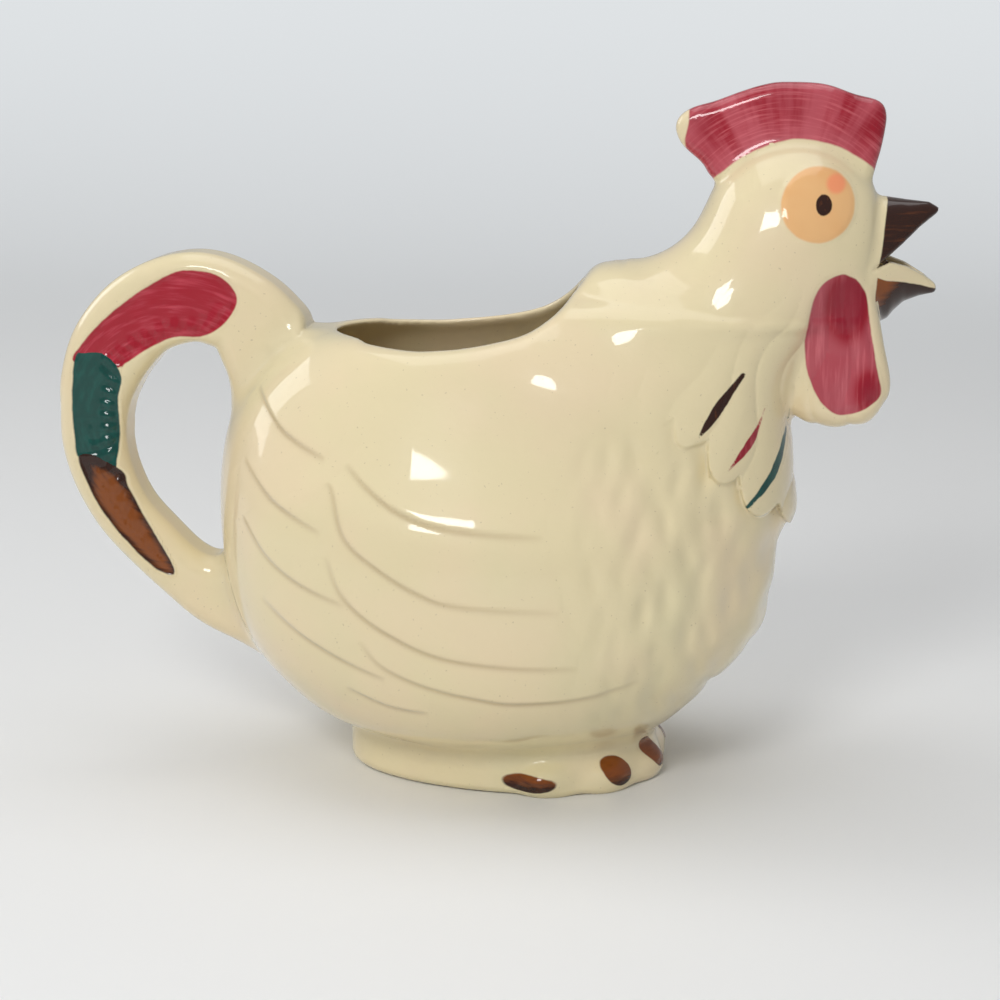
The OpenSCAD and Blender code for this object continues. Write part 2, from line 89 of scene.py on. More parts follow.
class Board:
    """Values drawn over a flat view at an even spacing and read back smoothly anywhere."""

    def __init__(self, low, high, cell):
        self.low = low
        self.cell = cell
        self.x, self.z = np.meshgrid(*(np.arange(a, b + cell, cell) for a, b in zip(low, high)),
                                     indexing="ij")

    def read(self, values, x, z):
        """Values at places, weighted smoothly over the nearest nine."""
        spots = []
        for place, low, size in ((x, self.low[0], values.shape[0]),
                                 (z, self.low[1], values.shape[1])):
            u = (place - low) / self.cell
            k = np.clip(np.rint(u), 1, size - 2).astype(int)
            a = np.clip(u - k, -0.5, 0.5)
            spots.append((k, ((0.5 - a)**2 / 2, 0.75 - a * a, (0.5 + a)**2 / 2)))
        (i, across), (j, up) = spots
        return sum(across[m] * up[n] * values[i + m - 1, j + n - 1]
                   for m in range(3) for n in range(3))

    def line_distance(self, line):
        """Distance from the nearest of many round spots along a line, each x, z and radius."""
        best = np.full(self.x.shape, 1e9)
        for x, z, r in line:
            best = np.minimum(best, np.hypot(self.x - x, self.z - z) - r)
        return best

    def outline(self, points):
        """Signed distance to a smooth closed outline, negative inside it."""
        line = smooth_line(points, 260, closed=True)
        best = np.full(self.x.shape, 1e9)
        inside = np.zeros(self.x.shape, bool)
        for (ax, az), (bx, bz) in zip(line, np.roll(line, -1, axis=0)):
            dx, dz = bx - ax, bz - az
            s = np.clip(((self.x - ax) * dx + (self.z - az) * dz) / (dx * dx + dz * dz), 0, 1)
            best = np.minimum(best, np.hypot(self.x - ax - s * dx, self.z - az - s * dz))
            if az != bz:
                inside ^= ((az > self.z) != (bz > self.z)) & \
                          (self.x < ax + (self.z - az) / dz * dx)
        return np.where(inside, -best, best)


bowl_low, bowl_high = corners("bowl")
jug_low, jug_high = np.array(cad_box[0]) / MM, np.array(cad_box[1]) / MM
bowl_half_l = -bowl_low[0]
bowl_half_w = bowl_high[1]
foot_h = bowl_low[2]
clay_h = bowl_high[2] - foot_h
bowl_root = 4.0  # how far the bowl's clay reaches down into the foot
margin = 8.0
side_view = jug_low[[0, 2]] - margin, jug_high[[0, 2]] + margin
form_board = Board(*side_view, 1.0)
fine_board = Board(*side_view, 0.4)

# Stations from the floor to the top of the dome that the filling mouth is later cut from. Shares
# of half the length, the height over the foot and half the width: back x, back z, front x,
# front z, width, widest place between back and front.
bowl_shares = [
    (-0.565, 0, 0.59, 0, 0.525, 0.5), (-0.68, 0.045, 0.69, 0.063, 0.70, 0.5),
    (-0.795, 0.12, 0.79, 0.135, 0.83, 0.5), (-0.894, 0.207, 0.89, 0.212, 0.924, 0.5),
    (-0.968, 0.333, 0.96, 0.295, 0.983, 0.5), (-1, 0.486, 0.985, 0.4, 1, 0.5),
    (-0.997, 0.64, 0.975, 0.52, 0.975, 0.5), (-0.96, 0.775, 0.935, 0.64, 0.86, 0.5),
    (-0.878, 0.883, 0.86, 0.76, 0.745, 0.48), (-0.77, 0.955, 0.76, 0.87, 0.655, 0.48),
    (-0.65, 1.0, 0.64, 0.96, 0.56, 0.48), (-0.47, 1.05, 0.48, 1.03, 0.42, 0.48),
    (-0.27, 1.085, 0.29, 1.07, 0.26, 0.48), (-0.08, 1.1, 0.1, 1.09, 0.09, 0.48),
]


def ring_place(stations, t, c):
    """Side view place and squared half width at station t, c from -1 at the back to 1."""
    s = along(stations, t)
    back_x, back_z, front_x, front_z, half, widest = (s[..., k] for k in range(6))
    reach = widest + np.where(c > 0, 1 - widest, widest) * c
    return (back_x + (front_x - back_x) * reach, back_z + (front_z - back_z) * reach,
            half * half * (1 - c * c))


def form_on(board, square):
    """Form kept as its squared half width over the side view, with that value's squared slope."""
    slope = np.gradient(square, board.cell)
    return board, square, slope[0]**2 + slope[1]**2


def swept_form(stations):
    """Form swept by tilted egg-shaped rings. Each place in the side view looks for its ring from
    the nearest seed, and what lies off every ring falls away steeply."""
    last = len(stations) - 1
    reach, fall = 1.5, 60
    seeds = np.meshgrid(np.linspace(0, last, 5 * last), np.linspace(-reach, reach, 31))
    t_seed, c_seed = (s.ravel() for s in seeds)
    sx, sz, _ = ring_place(stations, t_seed, c_seed)
    x, z = form_board.x.ravel(), form_board.z.ravel()
    near = np.concatenate([((sx - x[part, None])**2 + (sz - z[part, None])**2).argmin(1)
                           for part in np.array_split(np.arange(len(x)), 60)])
    t, c = t_seed[near], c_seed[near]
    h = 1e-4
    for _ in range(8):
        px, pz, _ = ring_place(stations, t, c)
        tx, tz, _ = ring_place(stations, t + h, c)
        cx, cz, _ = ring_place(stations, t, c + h)
        a, b, d, e = (tx - px) / h, (tz - pz) / h, (cx - px) / h, (cz - pz) / h
        det = a * e - b * d
        det = np.where(np.abs(det) < 1e-3, 1e-3, det)
        t = np.clip(t + np.clip(((x - px) * e - (z - pz) * d) / det, -0.5, 0.5), 0, last)
        c = np.clip(c + np.clip((a * (z - pz) - b * (x - px)) / det, -0.3, 0.3), -reach, reach)
    px, pz, square = ring_place(stations, t, c)
    square = (square - fall * np.hypot(x - px, z - pz)).reshape(form_board.x.shape)
    for _ in range(6):
        for axis in (0, 1):
            square += (np.roll(square, 1, axis) + np.roll(square, -1, axis) - 2 * square) / 4
    return form_on(form_board, square)


def form_field(form, x, y, z):
    """Distance from a form's skin, negative inside."""
    board, square, slope = form
    return ((y * y - board.read(square, x, z))
            / np.sqrt(4 * y * y + board.read(slope, x, z) + 1.0))


def blend(a, b, k):
    """Two clays joined with a fillet of that reach."""
    h = np.clip(0.5 + 0.5 * (b - a) / k, 0, 1)
    return b * (1 - h) + a * h - k * h * (1 - h)


def cut(a, b, k):
    """What two fields share, with an edge rounded over that reach."""
    return -blend(-a, -b, k)


bowl_form = swept_form([(bx * bowl_half_l, foot_h + bz * clay_h, fx * bowl_half_l,
                         foot_h + fz * clay_h, w * bowl_half_w, widest)
                        for bx, bz, fx, fz, w, widest in bowl_shares])


def bowl_field(x, y, z):
    return cut(form_field(bowl_form, x, y, z), foot_h - bowl_root - z, 2)


# The neck and head are one hollow tube cast with the bowl. Its stations lean forward from the
# collar at the filling mouth, over the crown, to the root of the beak.
front_l = jug_high[0]
rim_h = bowl_high[2]
upper_h = jug_high[2] - rim_h
neck_half_w = 24.5
head_half_w = 23.5
collar_fillet = 16


def up(points):
    """Side view places from shares of the beak's reach and of the height from rim to crest."""
    return np.array(points) * (front_l, upper_h) + (0, rim_h)


# Back x, back z, front x, front z and half width, as shares
neck_shares = [
    (0.017, 0.09, 0.665, -0.716, 1.4), (0.161, 0.231, 0.668, -0.507, 1.3),
    (0.258, 0.29, 0.67, -0.373, 1.22), (0.322, 0.29, 0.676, -0.3, 1.16),
    (0.39, 0.337, 0.7, -0.172, 1.06), (0.44, 0.418, 0.733, -0.06, 1),
    (0.47, 0.515, 0.767, 0.022, 0.98),
]
head_shares = [
    (0.496, 0.612, 0.792, 0.06, 1), (0.55, 0.709, 0.81, 0.075, 0.97),
    (0.631, 0.769, 0.822, 0.082, 0.9), (0.72, 0.769, 0.83, 0.09, 0.81),
    (0.805, 0.687, 0.836, 0.09, 0.68), (0.873, 0.557, 0.843, 0.094, 0.55),
]
neck_form = swept_form([(*up([q[:2]])[0], *up([q[2:4]])[0], q[4] * half, 0.5)
                        for shares, half in ((neck_shares, neck_half_w),
                                             (head_shares, head_half_w)) for q in shares])


def half_plane(a, b, x, z):
    """Distance to the right of a side view line that goes up from a to b."""
    dx, dz = b[0] - a[0], b[1] - a[1]
    return ((x - a[0]) * dz - (z - a[1]) * dx) / math.hypot(dx, dz)


neck_root = up([(0.017, -0.09), (0.65, -0.9)])
mouth_line = up([(0.843, 0.094), (0.873, 0.557)])


def neck_field(x, y, z):
    f = form_field(neck_form, x, y, z)
    f = cut(f, half_plane(*neck_root, x, z), 6)
    return cut(f, half_plane(*mouth_line, x, z) - 0.5, 7)


def smooth_body(x, y, z):
    """Bowl, neck and head as one smooth clay, before any relief."""
    return blend(bowl_field(x, y, z), neck_field(x, y, z), collar_fillet)


# The tail curls back from the rim and down to the rump as the handle: a band with soft edges,
# solid in the cast, with a web where it leaves the bowl's shoulder.
tail_low, tail_high = corners("tail_handle")
tail_half_t = tail_high[1]
band_w = 18.6
# Shares of the tail's reach, the rim's height and the band's width, from the rim to the rump
tail_shares = [(0.36, 0.88, 0.66), (0.452, 0.974, 0.72), (0.559, 1.028, 1.24),
               (0.669, 1.064, 1.34), (0.782, 1.031, 1.3), (0.858, 0.955, 1.27),
               (0.897, 0.873, 1.15), (0.909, 0.806, 1.04), (0.911, 0.734, 1), (0.892, 0.652, 0.94),
               (0.85, 0.568, 0.88), (0.787, 0.496, 0.86), (0.719, 0.432, 0.86),
               (0.642, 0.383, 1.03), (0.559, 0.355, 1.18), (0.5, 0.35, 1.3)]
tail_end = 0.926
web_share = (0.55, 0.86, 0.5)
tail_reach = -tail_low[0] - band_w / 2


def tail_spot(q):
    """Side view place and radius of a round spot on the band's middle line."""
    return -q[0] / tail_end * tail_reach, q[1] * rim_h, q[2] * band_w / 2


tail_line = smooth_line([tail_spot(q) for q in tail_shares], 700)
web_line = smooth_line([tail_spot(tail_shares[2]), tail_spot(web_share)], 60)
tail_flat = form_board.line_distance(np.concatenate([tail_line, web_line]))
tail_round = 5.5


def slab(flat, y, half, r):
    """Slab of a flat outline's field and a half thickness, its edges rounded over r."""
    u, v = flat + r, np.abs(y) - half + r
    return np.minimum(np.maximum(u, v), 0) + np.hypot(np.maximum(u, 0), np.maximum(v, 0)) - r


def tail_field(x, y, z):
    return slab(form_board.read(tail_flat, x, z), y, tail_half_t, tail_round)


# The comb is a solid crest of clay that stands on the crown, cast in one with the head: thick at
# its root, thinner above and round at its edge.
comb_high = corners("comb")[1]
comb_shares = [(0.495, 0.613), (0.46, 0.683), (0.426, 0.734), (0.408, 0.773), (0.4, 0.825),
               (0.411, 0.868), (0.44, 0.9), (0.487, 0.924), (0.542, 0.96), (0.593, 0.988),
               (0.64, 1.0), (0.729, 0.993), (0.798, 0.954), (0.852, 0.928), (0.869, 0.882),
               (0.867, 0.809), (0.853, 0.697), (0.831, 0.617), (0.746, 0.538), (0.61, 0.538)]
comb_flat = form_board.outline(up(comb_shares))
head_middle = up([(0.653, 0.389)])[0]
comb_root_half = comb_high[1]
comb_edge_half = 3.7
comb_root_r, comb_edge_r = 25, 40


def comb_field(x, y, z):
    rise = np.clip((np.hypot(x - head_middle[0], z - head_middle[1]) - comb_root_r)
                   / (comb_edge_r - comb_root_r), 0, 1)
    half = comb_root_half + (comb_edge_half - comb_root_half) * rise
    return slab(form_board.read(comb_flat, x, z), y, half, 3.2)


# The two wattles are solid lobes of clay that hang from the throat, cast side by side with a
# shallow furrow between them.
wattle_high = corners("wattle_left")[1]
wattle_shares = [(0.882, 0.045), (0.89, -0.036), (0.903, -0.164), (0.895, -0.247),
                 (0.856, -0.329), (0.814, -0.353), (0.764, -0.359), (0.708, -0.341),
                 (0.678, -0.284), (0.671, -0.179), (0.675, -0.06), (0.686, 0.09),
                 (0.712, 0.209), (0.763, 0.284), (0.822, 0.284), (0.86, 0.194), (0.875, 0.105)]
wattle_flat = form_board.outline(up(wattle_shares)) + 1.3
wattle_half = wattle_high[1]
lobe_y, lobe_half, lobe_round = wattle_half * 0.52, wattle_half * 0.48, 5.5
furrow = 3.5  # how far the clay between the lobes stays back from their outline


def wattle_field(x, y, z):
    """One lobe on each side of the middle plane, and the clay that joins them."""
    flat = form_board.read(wattle_flat, x, z)
    lobe = slab(flat, np.abs(y) - lobe_y, lobe_half, lobe_round)
    return blend(lobe, slab(flat + furrow, y, wattle_half * 0.5, 3), 3)


# The foot is a low solid base of clay with a narrow waist and three toes on each side. Below it
# is a shallow recess, so that the jug stands on a dry ring.
foot_low, foot_high = corners("foot")
foot_l = foot_high[0] - foot_low[0]
foot_half_w = foot_high[1]


def foot_point(angle, share):
    """Plan place that share of the way out to the foot's outline, at an angle from its front."""
    a = np.radians(angle)
    reach = 0.62 + np.where(np.cos(a) > 0, 0.38, 0.66) * np.cos(a)
    return np.stack([foot_low[0] + reach * foot_l, np.sin(a) * foot_half_w], -1) * share


plan_board = Board((foot_low[0] - margin, -foot_half_w - margin),
                   (foot_high[0] + margin, foot_half_w + margin), 1.0)
foot_plan = plan_board.outline(foot_point(np.arange(0, 360, 15), 0.965))
toes = []
for angle in (84, 50, 20):
    outer, inner = foot_point(angle, 0.9), foot_point(angle, 0.6)
    toes.append((outer, math.atan2(*(outer - inner)[::-1])))
foot_top = foot_h + 5  # sunk into the bowl
toe_l, toe_w, toe_h, toe_z = 4.5, 6.5, 4, 4.2
ring_w, recess = 8, 1.2  # the dry ring and what it stands round


def foot_field(x, y, z):
    plan = plan_board.read(foot_plan, x, np.abs(y))
    waist = 3.0 * np.clip((z - 2) / 9, 0, 1) * np.clip((x - foot_low[0]) / 25, 0, 1)
    f = cut(cut(plan + waist, -z, 3.2), z - foot_top, 2)
    for (tx, ty), turn in toes:
        dx, dy = x - tx, np.abs(y) - ty
        u = dx * math.cos(turn) + dy * math.sin(turn)
        v = dy * math.cos(turn) - dx * math.sin(turn)
        toe = (np.sqrt((u / toe_l)**2 + (v / toe_w)**2 + ((z - toe_z) / toe_h)**2) - 1) * toe_h
        f = blend(f, cut(toe, -z, 2), 4)
    return cut(f, -np.maximum(plan + ring_w, z - recess), 1)


# The beak's two halves are thin hollow forms that run out from the head to sharp tips, open to
# each other along a mouth that pours.
upper_top = [(0.839, 0.562), (0.875, 0.555), (0.92, 0.544), (0.972, 0.534), (0.995, 0.511)]
upper_edge = [(0.839, 0.271), (0.874, 0.32), (0.913, 0.377), (0.952, 0.441), (0.995, 0.497)]
lower_top = [(0.822, 0.254), (0.84, 0.275), (0.886, 0.308), (0.926, 0.286), (0.967, 0.245),
             (1.0, 0.2)]
lower_bottom = [(0.847, 0.03), (0.888, 0.069), (0.901, 0.099), (0.923, 0.136), (0.958, 0.16),
                (1.0, 0.175)]
beak_start = 0.843 * front_l
beak_half_w = 11.8
tip_half, tip_tall = 0.75, 1.4
shell = 3.2
beak_board = Board((front_l * 0.76, rim_h - 6), (front_l + 6, jug_high[2] - 8), 0.5)


def height_along(points, x):
    """Height at x of a side view line given in shares."""
    line = up(points)
    return np.interp(x, line[:, 0], line[:, 1])


def arch_form(edge_line, top_line):
    """Half a cone that opens along one line and closes over the other."""
    x = beak_board.x
    out = np.clip((x - beak_start) / (front_l - beak_start), 0, 1)
    half = beak_half_w * (1 - out**1.15) + tip_half
    open_z, shut_z = height_along(edge_line, x), height_along(top_line, x)
    tall = shut_z - open_z
    tall = np.sign(tall) * np.maximum(np.abs(tall), tip_tall)
    q = (beak_board.z - open_z) / tall
    return form_on(beak_board, half**2 * (1 - q * q))


upper_form = arch_form(upper_edge, upper_top)
lower_form = arch_form(lower_top, lower_bottom)


def beak_fields(x, y, z):
    """Skins of the upper and lower half, and the rooms inside them."""
    tip = cut(x - front_l + 0.4, front_l * 0.8 - x, 0.5)
    back = front_l * 0.79 - x
    skins, rooms = [], []
    for form, open_side in ((upper_form, (height_along(upper_edge, x) - z) * 0.75),
                            (lower_form, (z - height_along(lower_top, x)) * 0.9)):
        arch = form_field(form, x, y, z)
        skins.append(cut(cut(arch, open_side, 1.0), tip, 1.2))
        rooms.append(np.maximum(np.maximum(arch + shell, open_side - 1), back))
    return (*skins, np.minimum(*rooms))


# Feathers and edges stand in the mould's relief, the same on both sides: rows of flight feathers
# over the wing and rump, a ragged hackle round the neck, and small breast feathers.
def on_bowl(points):
    """Side view places from shares of half the bowl's length and its height over the foot."""
    return np.array(points) * (bowl_half_l, clay_h) + (0, foot_h)


feather_lines = [
    [(-0.453, 0.738), (-0.367, 0.686), (-0.245, 0.636), (-0.072, 0.608), (0.222, 0.593)],
    [(-0.51, 0.694), (-0.491, 0.668), (-0.444, 0.571), (-0.333, 0.51), (-0.197, 0.459),
     (-0.063, 0.433), (0.282, 0.419)],
    [(-0.508, 0.526), (-0.473, 0.454), (-0.41, 0.402), (-0.299, 0.353), (-0.124, 0.304),
     (0.123, 0.282), (0.333, 0.277)],
    [(-0.397, 0.329), (-0.324, 0.267), (-0.176, 0.222), (0.0, 0.194), (0.124, 0.182),
     (0.349, 0.192), (0.531, 0.228)],
    [(-0.813, 0.874), (-0.699, 0.795), (-0.526, 0.741)],
    [(-0.846, 0.712), (-0.741, 0.645), (-0.641, 0.608), (-0.531, 0.578)],
    [(-0.846, 0.577), (-0.746, 0.497), (-0.622, 0.447), (-0.447, 0.409)],
    [(-0.769, 0.386), (-0.626, 0.32), (-0.464, 0.268), (-0.315, 0.231)],
    [(-0.462, 0.192), (-0.315, 0.154), (-0.177, 0.142)],
]


def feather_row(points, lift, reach):
    """Row of feathers that ends at a line: proud above it, sunk below, fading at its ends.
    The second table is the groove, later darkened for pooled glaze and as painted shade below the
    feather's edge."""
    line = smooth_line(points, 120)
    best = np.full(fine_board.x.shape, 1e9)
    side = np.zeros_like(best)
    fade = np.zeros_like(best)
    way = np.gradient(line, axis=0)
    for k, ((x, z), (wx, wz)) in enumerate(zip(line, way)):
        dx, dz = fine_board.x - x, fine_board.z - z
        d = dx * dx + dz * dz
        near = d < best
        best = np.where(near, d, best)
        side = np.where(near, (wx * dz - wz * dx) / math.hypot(wx, wz), side)
        fade = np.where(near, max(math.sin(math.pi * k / (len(line) - 1)), 0)**0.6, fade)
    d = np.sqrt(best)
    return (lift * fade * np.tanh(side / 0.55) * np.exp(-d / reach),
            fade * np.exp(-((side + 0.5) / 0.8)**2) * (d < 3))


feather_lift, feather_reach = 0.6, 5.0
relief = np.zeros(fine_board.x.shape)
groove = np.zeros(fine_board.x.shape)
for points in feather_lines:
    step, line = feather_row(on_bowl(points), feather_lift, feather_reach)
    relief += step
    groove = np.maximum(groove, line)

# Hackle feathers run down from the head like rays. They are faint at the side of the neck and
# end over the breast in tips that stand free. The edge is given as degrees and distance from
# the hackle's top
hackle_top = up([(0.746, 0.613)])[0]
ray_x, ray_z = fine_board.x - hackle_top[0], fine_board.z - hackle_top[1]
ray_r = np.hypot(ray_x, ray_z)
ray_a = np.degrees(np.arctan2(-ray_x, -ray_z))
ray_bend = ray_a + 3.0 * np.sin(ray_r / 11) + 2.0 * np.sin(ray_r / 5.3 + ray_a / 9)
hackle_edge = [(-40, 60), (-8, 86), (4, 92), (11, 86), (19, 79), (27, 73), (55, 75), (80, 70)]
ray_first, ray_step = 3.4, 8.6
wave = np.abs(np.cos(np.pi * (ray_a - ray_first) / ray_step))
edge_r = np.interp(ray_a, *np.array(hackle_edge).T) + 6 * (wave**0.8 - 0.6)
inside_hackle = np.clip((edge_r - ray_r) / 1.8 + 0.5, 0, 1)
inside_hackle = inside_hackle**2 * (3 - 2 * inside_hackle)
strand = np.abs(np.cos(np.pi * (ray_bend - ray_first) / ray_step))**0.6 - 0.65
near_front = np.clip((34 - ray_a) / 14, 0, 1)
fan = np.clip((ray_r - 24) / 30, 0, 1) * np.clip((62 - ray_a) / 30, 0, 1)
relief += inside_hackle * (near_front * np.clip((ray_r - 45) / 25, 0, 1)
                           + (0.26 + 0.4 * near_front) * fan * strand)

# Breast feathers: upright dimples scattered over the front of the bowl, fainter to the back
random = np.random.default_rng(7)
dimple_apart, dimple_rise = 7.4, 10.0
dimple_w, dimple_h, dimple_depth = 2.3, 5.4, 1.2
for row in range(8):
    for col in range(8):
        x = 22 + (col + row % 2 / 2) * dimple_apart + random.uniform(-1.8, 1.8)
        z = 27 + row * dimple_rise + random.uniform(-2.6, 2.6) + col * 0.4
        v = fine_board.z - z
        u = fine_board.x - x + random.uniform(-0.3, 0.3) * v
        size = random.uniform(0.8, 1.25)
        dent = np.exp(-(u / (dimple_w * size))**2 - (v / (dimple_h * size))**2)
        strength = np.clip((x - 18) / 26, 0, 1) * (1 - inside_hackle)
        relief -= dimple_depth * random.uniform(0.4, 1.1) * strength * dent

# The eye is a low round boss, and the coloured fields on the tail and wattles are sunk
eye_middle, pupil_middle = up([(0.719, 0.543), (0.731, 0.543)])
eye_r, eye_lift = 9.9, 0.45
eye_d = np.hypot(fine_board.x - eye_middle[0], fine_board.z - eye_middle[1])
relief += eye_lift * np.clip((eye_r + 0.7 - eye_d) / 2.2, 0, 1)


def on_tail(points):
    """Side view places from shares of the tail's reach and the rim's height."""
    return np.array(points) * (tail_low[0], rim_h)


def oval(u, v, half_u, half_v):
    """Distance from an oval's edge, near enough, negative inside it."""
    return (np.hypot(u / half_u, v / half_v) - 1) * min(half_u, half_v)


def stroke(points, radii):
    return fine_board.line_distance(smooth_line(np.column_stack([up(points), radii]), 90))


paints = {
    "eye_patches": eye_d - eye_r,
    "pupils": oval(fine_board.x - pupil_middle[0], fine_board.z - pupil_middle[1], 2.2, 2.9),
    "wattle_glaze": fine_board.outline(up([
        (0.773, 0.277), (0.734, 0.244), (0.715, 0.184), (0.706, 0.105), (0.698, 0.0),
        (0.703, -0.1), (0.719, -0.184), (0.743, -0.251), (0.777, -0.294), (0.817, -0.286),
        (0.857, -0.248), (0.875, -0.199), (0.863, -0.094), (0.852, 0.004), (0.842, 0.108),
        (0.835, 0.187), (0.814, 0.245), (0.793, 0.269)])),
    "tail_glaze_red": fine_board.outline(on_tail([
        (0.938, 0.919), (0.925, 0.954), (0.871, 1.013), (0.796, 1.072), (0.728, 1.113),
        (0.683, 1.127), (0.617, 1.119), (0.577, 1.086), (0.573, 1.053), (0.604, 1.008),
        (0.654, 0.981), (0.71, 0.98), (0.767, 0.956), (0.824, 0.919), (0.84, 0.91)])),
    "tail_glaze_green": fine_board.outline(on_tail([
        (0.937, 0.929), (0.948, 0.833), (0.945, 0.742), (0.938, 0.703), (0.901, 0.704),
        (0.863, 0.663), (0.849, 0.744), (0.846, 0.835), (0.835, 0.885), (0.851, 0.921),
        (0.88, 0.941), (0.916, 0.94)])),
    "tail_glaze_brown": fine_board.outline(on_tail([
        (0.938, 0.703), (0.919, 0.639), (0.883, 0.57), (0.828, 0.502), (0.773, 0.449),
        (0.73, 0.435), (0.744, 0.48), (0.793, 0.562), (0.83, 0.632), (0.845, 0.672),
        (0.901, 0.704)])),
    "hackle_stroke_brown": stroke([(0.564, -0.108), (0.541, -0.162), (0.517, -0.218),
                                   (0.493, -0.282), (0.469, -0.342)],
                                  [0.75, 1.05, 1.5, 1.25, 0.3]),
    "hackle_stroke_red": stroke([(0.614, -0.25), (0.6, -0.32), (0.578, -0.39), (0.536, -0.475)],
                                [0.3, 0.6, 1.2, 0.3]),
    "hackle_stroke_green": stroke([(0.674, -0.254), (0.662, -0.38), (0.636, -0.52),
                                   (0.58, -0.631)], [0.3, 0.6, 1.25, 0.6]),
    "comb": fine_board.outline(up([
        (0.476, 0.61), (0.496, 0.631), (0.546, 0.701), (0.601, 0.749), (0.656, 0.777),
        (0.711, 0.774), (0.766, 0.747), (0.811, 0.706), (0.838, 0.674), (0.87, 0.62),
        (0.98, 0.72), (0.98, 1.15), (0.7, 1.2), (0.43, 1.15), (0.425, 0.95), (0.428, 0.86),
        (0.42, 0.76), (0.44, 0.66)])),
}
tail_paint = np.minimum(np.minimum(paints["tail_glaze_red"], paints["tail_glaze_green"]),
                        paints["tail_glaze_brown"])
for field, depth in ((tail_paint, 0.7), (paints["wattle_glaze"], 0.35)):
    relief -= depth * np.clip(0.5 - field / 1.6, 0, 1)

# Ribs across the inner edge of the sunk fields on the tail, as rays from the middle of the
# window that a hand goes through
window = np.array((tail_low[0] * 0.72, rim_h * 0.79))
win_x, win_z = fine_board.x - window[0], fine_board.z - window[1]
win_r, win_a = np.hypot(win_x, win_z), np.degrees(np.arctan2(win_z, -win_x))
middle_x, middle_z = (tail_line[::-1, :2] - window).T
middle_r = np.interp(win_a, np.degrees(np.arctan2(middle_z, -middle_x)),
                     np.hypot(middle_x, middle_z))
inner = np.exp(-((tail_paint + 2.6) / 1.5)**2) * (tail_paint < 0) * (win_r < middle_r)
rib_lift, ribs = 0.4, 36
relief += rib_lift * inner * np.sin(np.radians(win_a) * ribs)

# The filling mouth is cut in the cast's back behind the neck while the clay is soft, and its
# edge is sponged round. The same wall is left all over between the outside and the room inside.
rim_shares = smooth_line([(-0.60, -0.005), (-0.429, 0.0), (-0.32, -0.006), (-0.276, -0.02),
                          (-0.175, -0.031), (-0.108, -0.025), (-0.04, -0.012), (0.027, 0.01),
                          (0.082, 0.039), (0.126, 0.084), (0.158, 0.133), (0.188, 0.197),
                          (0.214, 0.259), (0.235, 0.287), (0.262, 0.294), (0.3, 0.33),
                          (0.34, 0.6), (0.4, 1.2)], 200)
mouth_back = -53.0
wall = 4.0


def outside_field(x, y, z):
    """Everything that shows from outside, with its relief."""
    body = smooth_body(x, y, z)
    upper, lower, _ = beak_fields(x, y, z)
    f = blend(body, tail_field(x, y, z), 7)
    f = blend(f, comb_field(x, y, z), 2.6)
    f = blend(f, wattle_field(x, y, z), 4)
    f = blend(f, foot_field(x, y, z), 4)
    f = f - fine_board.read(relief, x, z)
    return blend(f, np.minimum(upper, lower), 1.6)


def cavity_field(x, y, z):
    """Room inside the bowl, neck and head, and in the beak's two halves."""
    return blend(smooth_body(x, y, z) + wall, beak_fields(x, y, z)[2], 1.5)


def clay_field(x, y, z):
    """The cast clay: its outside, less the room inside, trimmed along the rim."""
    f = cut(outside_field(x, y, z), -cavity_field(x, y, z), 1.6)
    over = (z - height_along(rim_shares, x)) * 0.8
    return cut(f, np.minimum(over, x - mouth_back), 2.4)


# The clay is drawn as one even net, so that no seam shows, and every face of it belongs to the
# member whose clay is behind it. A member is closed by the faces that it shares with the next.
def claims(x, y, z):
    """Members in the order in which they claim clay; a value is negative where it is theirs.
    What is more than a little way inside the body stays the body's."""
    body = smooth_body(x, y, z)
    deep = -body - 1.2
    others = np.minimum(body, np.minimum(*beak_fields(x, y, z)[:2]))
    lobe = np.maximum(wattle_field(x, y, z) - others, deep)
    lips = height_along([(0.839, 0.262), (0.874, 0.315), (0.913, 0.34), (1.0, 0.35)], x)
    before = -half_plane(*mouth_line, x, z) - 0.7
    return {
        "foot": z - foot_h + 0 * body,
        "tail_handle": np.maximum(tail_field(x, y, z) - body, deep),
        "comb": np.maximum(comb_field(x, y, z) - body, deep),
        "wattle_right": np.maximum(lobe, y), "wattle_left": np.maximum(lobe, -y),
        "upper_beak": np.maximum(before, lips - z) + 0 * y,
        "lower_beak": np.maximum(before, z - lips) + 0 * y,
        "head": -half_plane(*up([(0.767, 0.022), (0.47, 0.515)]), x, z) + 0 * y,
        "neck": -half_plane(*up([(0.687, -0.69), (-0.017, -0.015)]), x, z) + 0 * y,
    }


members = ["foot", "tail_handle", "comb", "wattle_right", "wattle_left", "upper_beak",
           "lower_beak", "head", "neck", "bowl"]


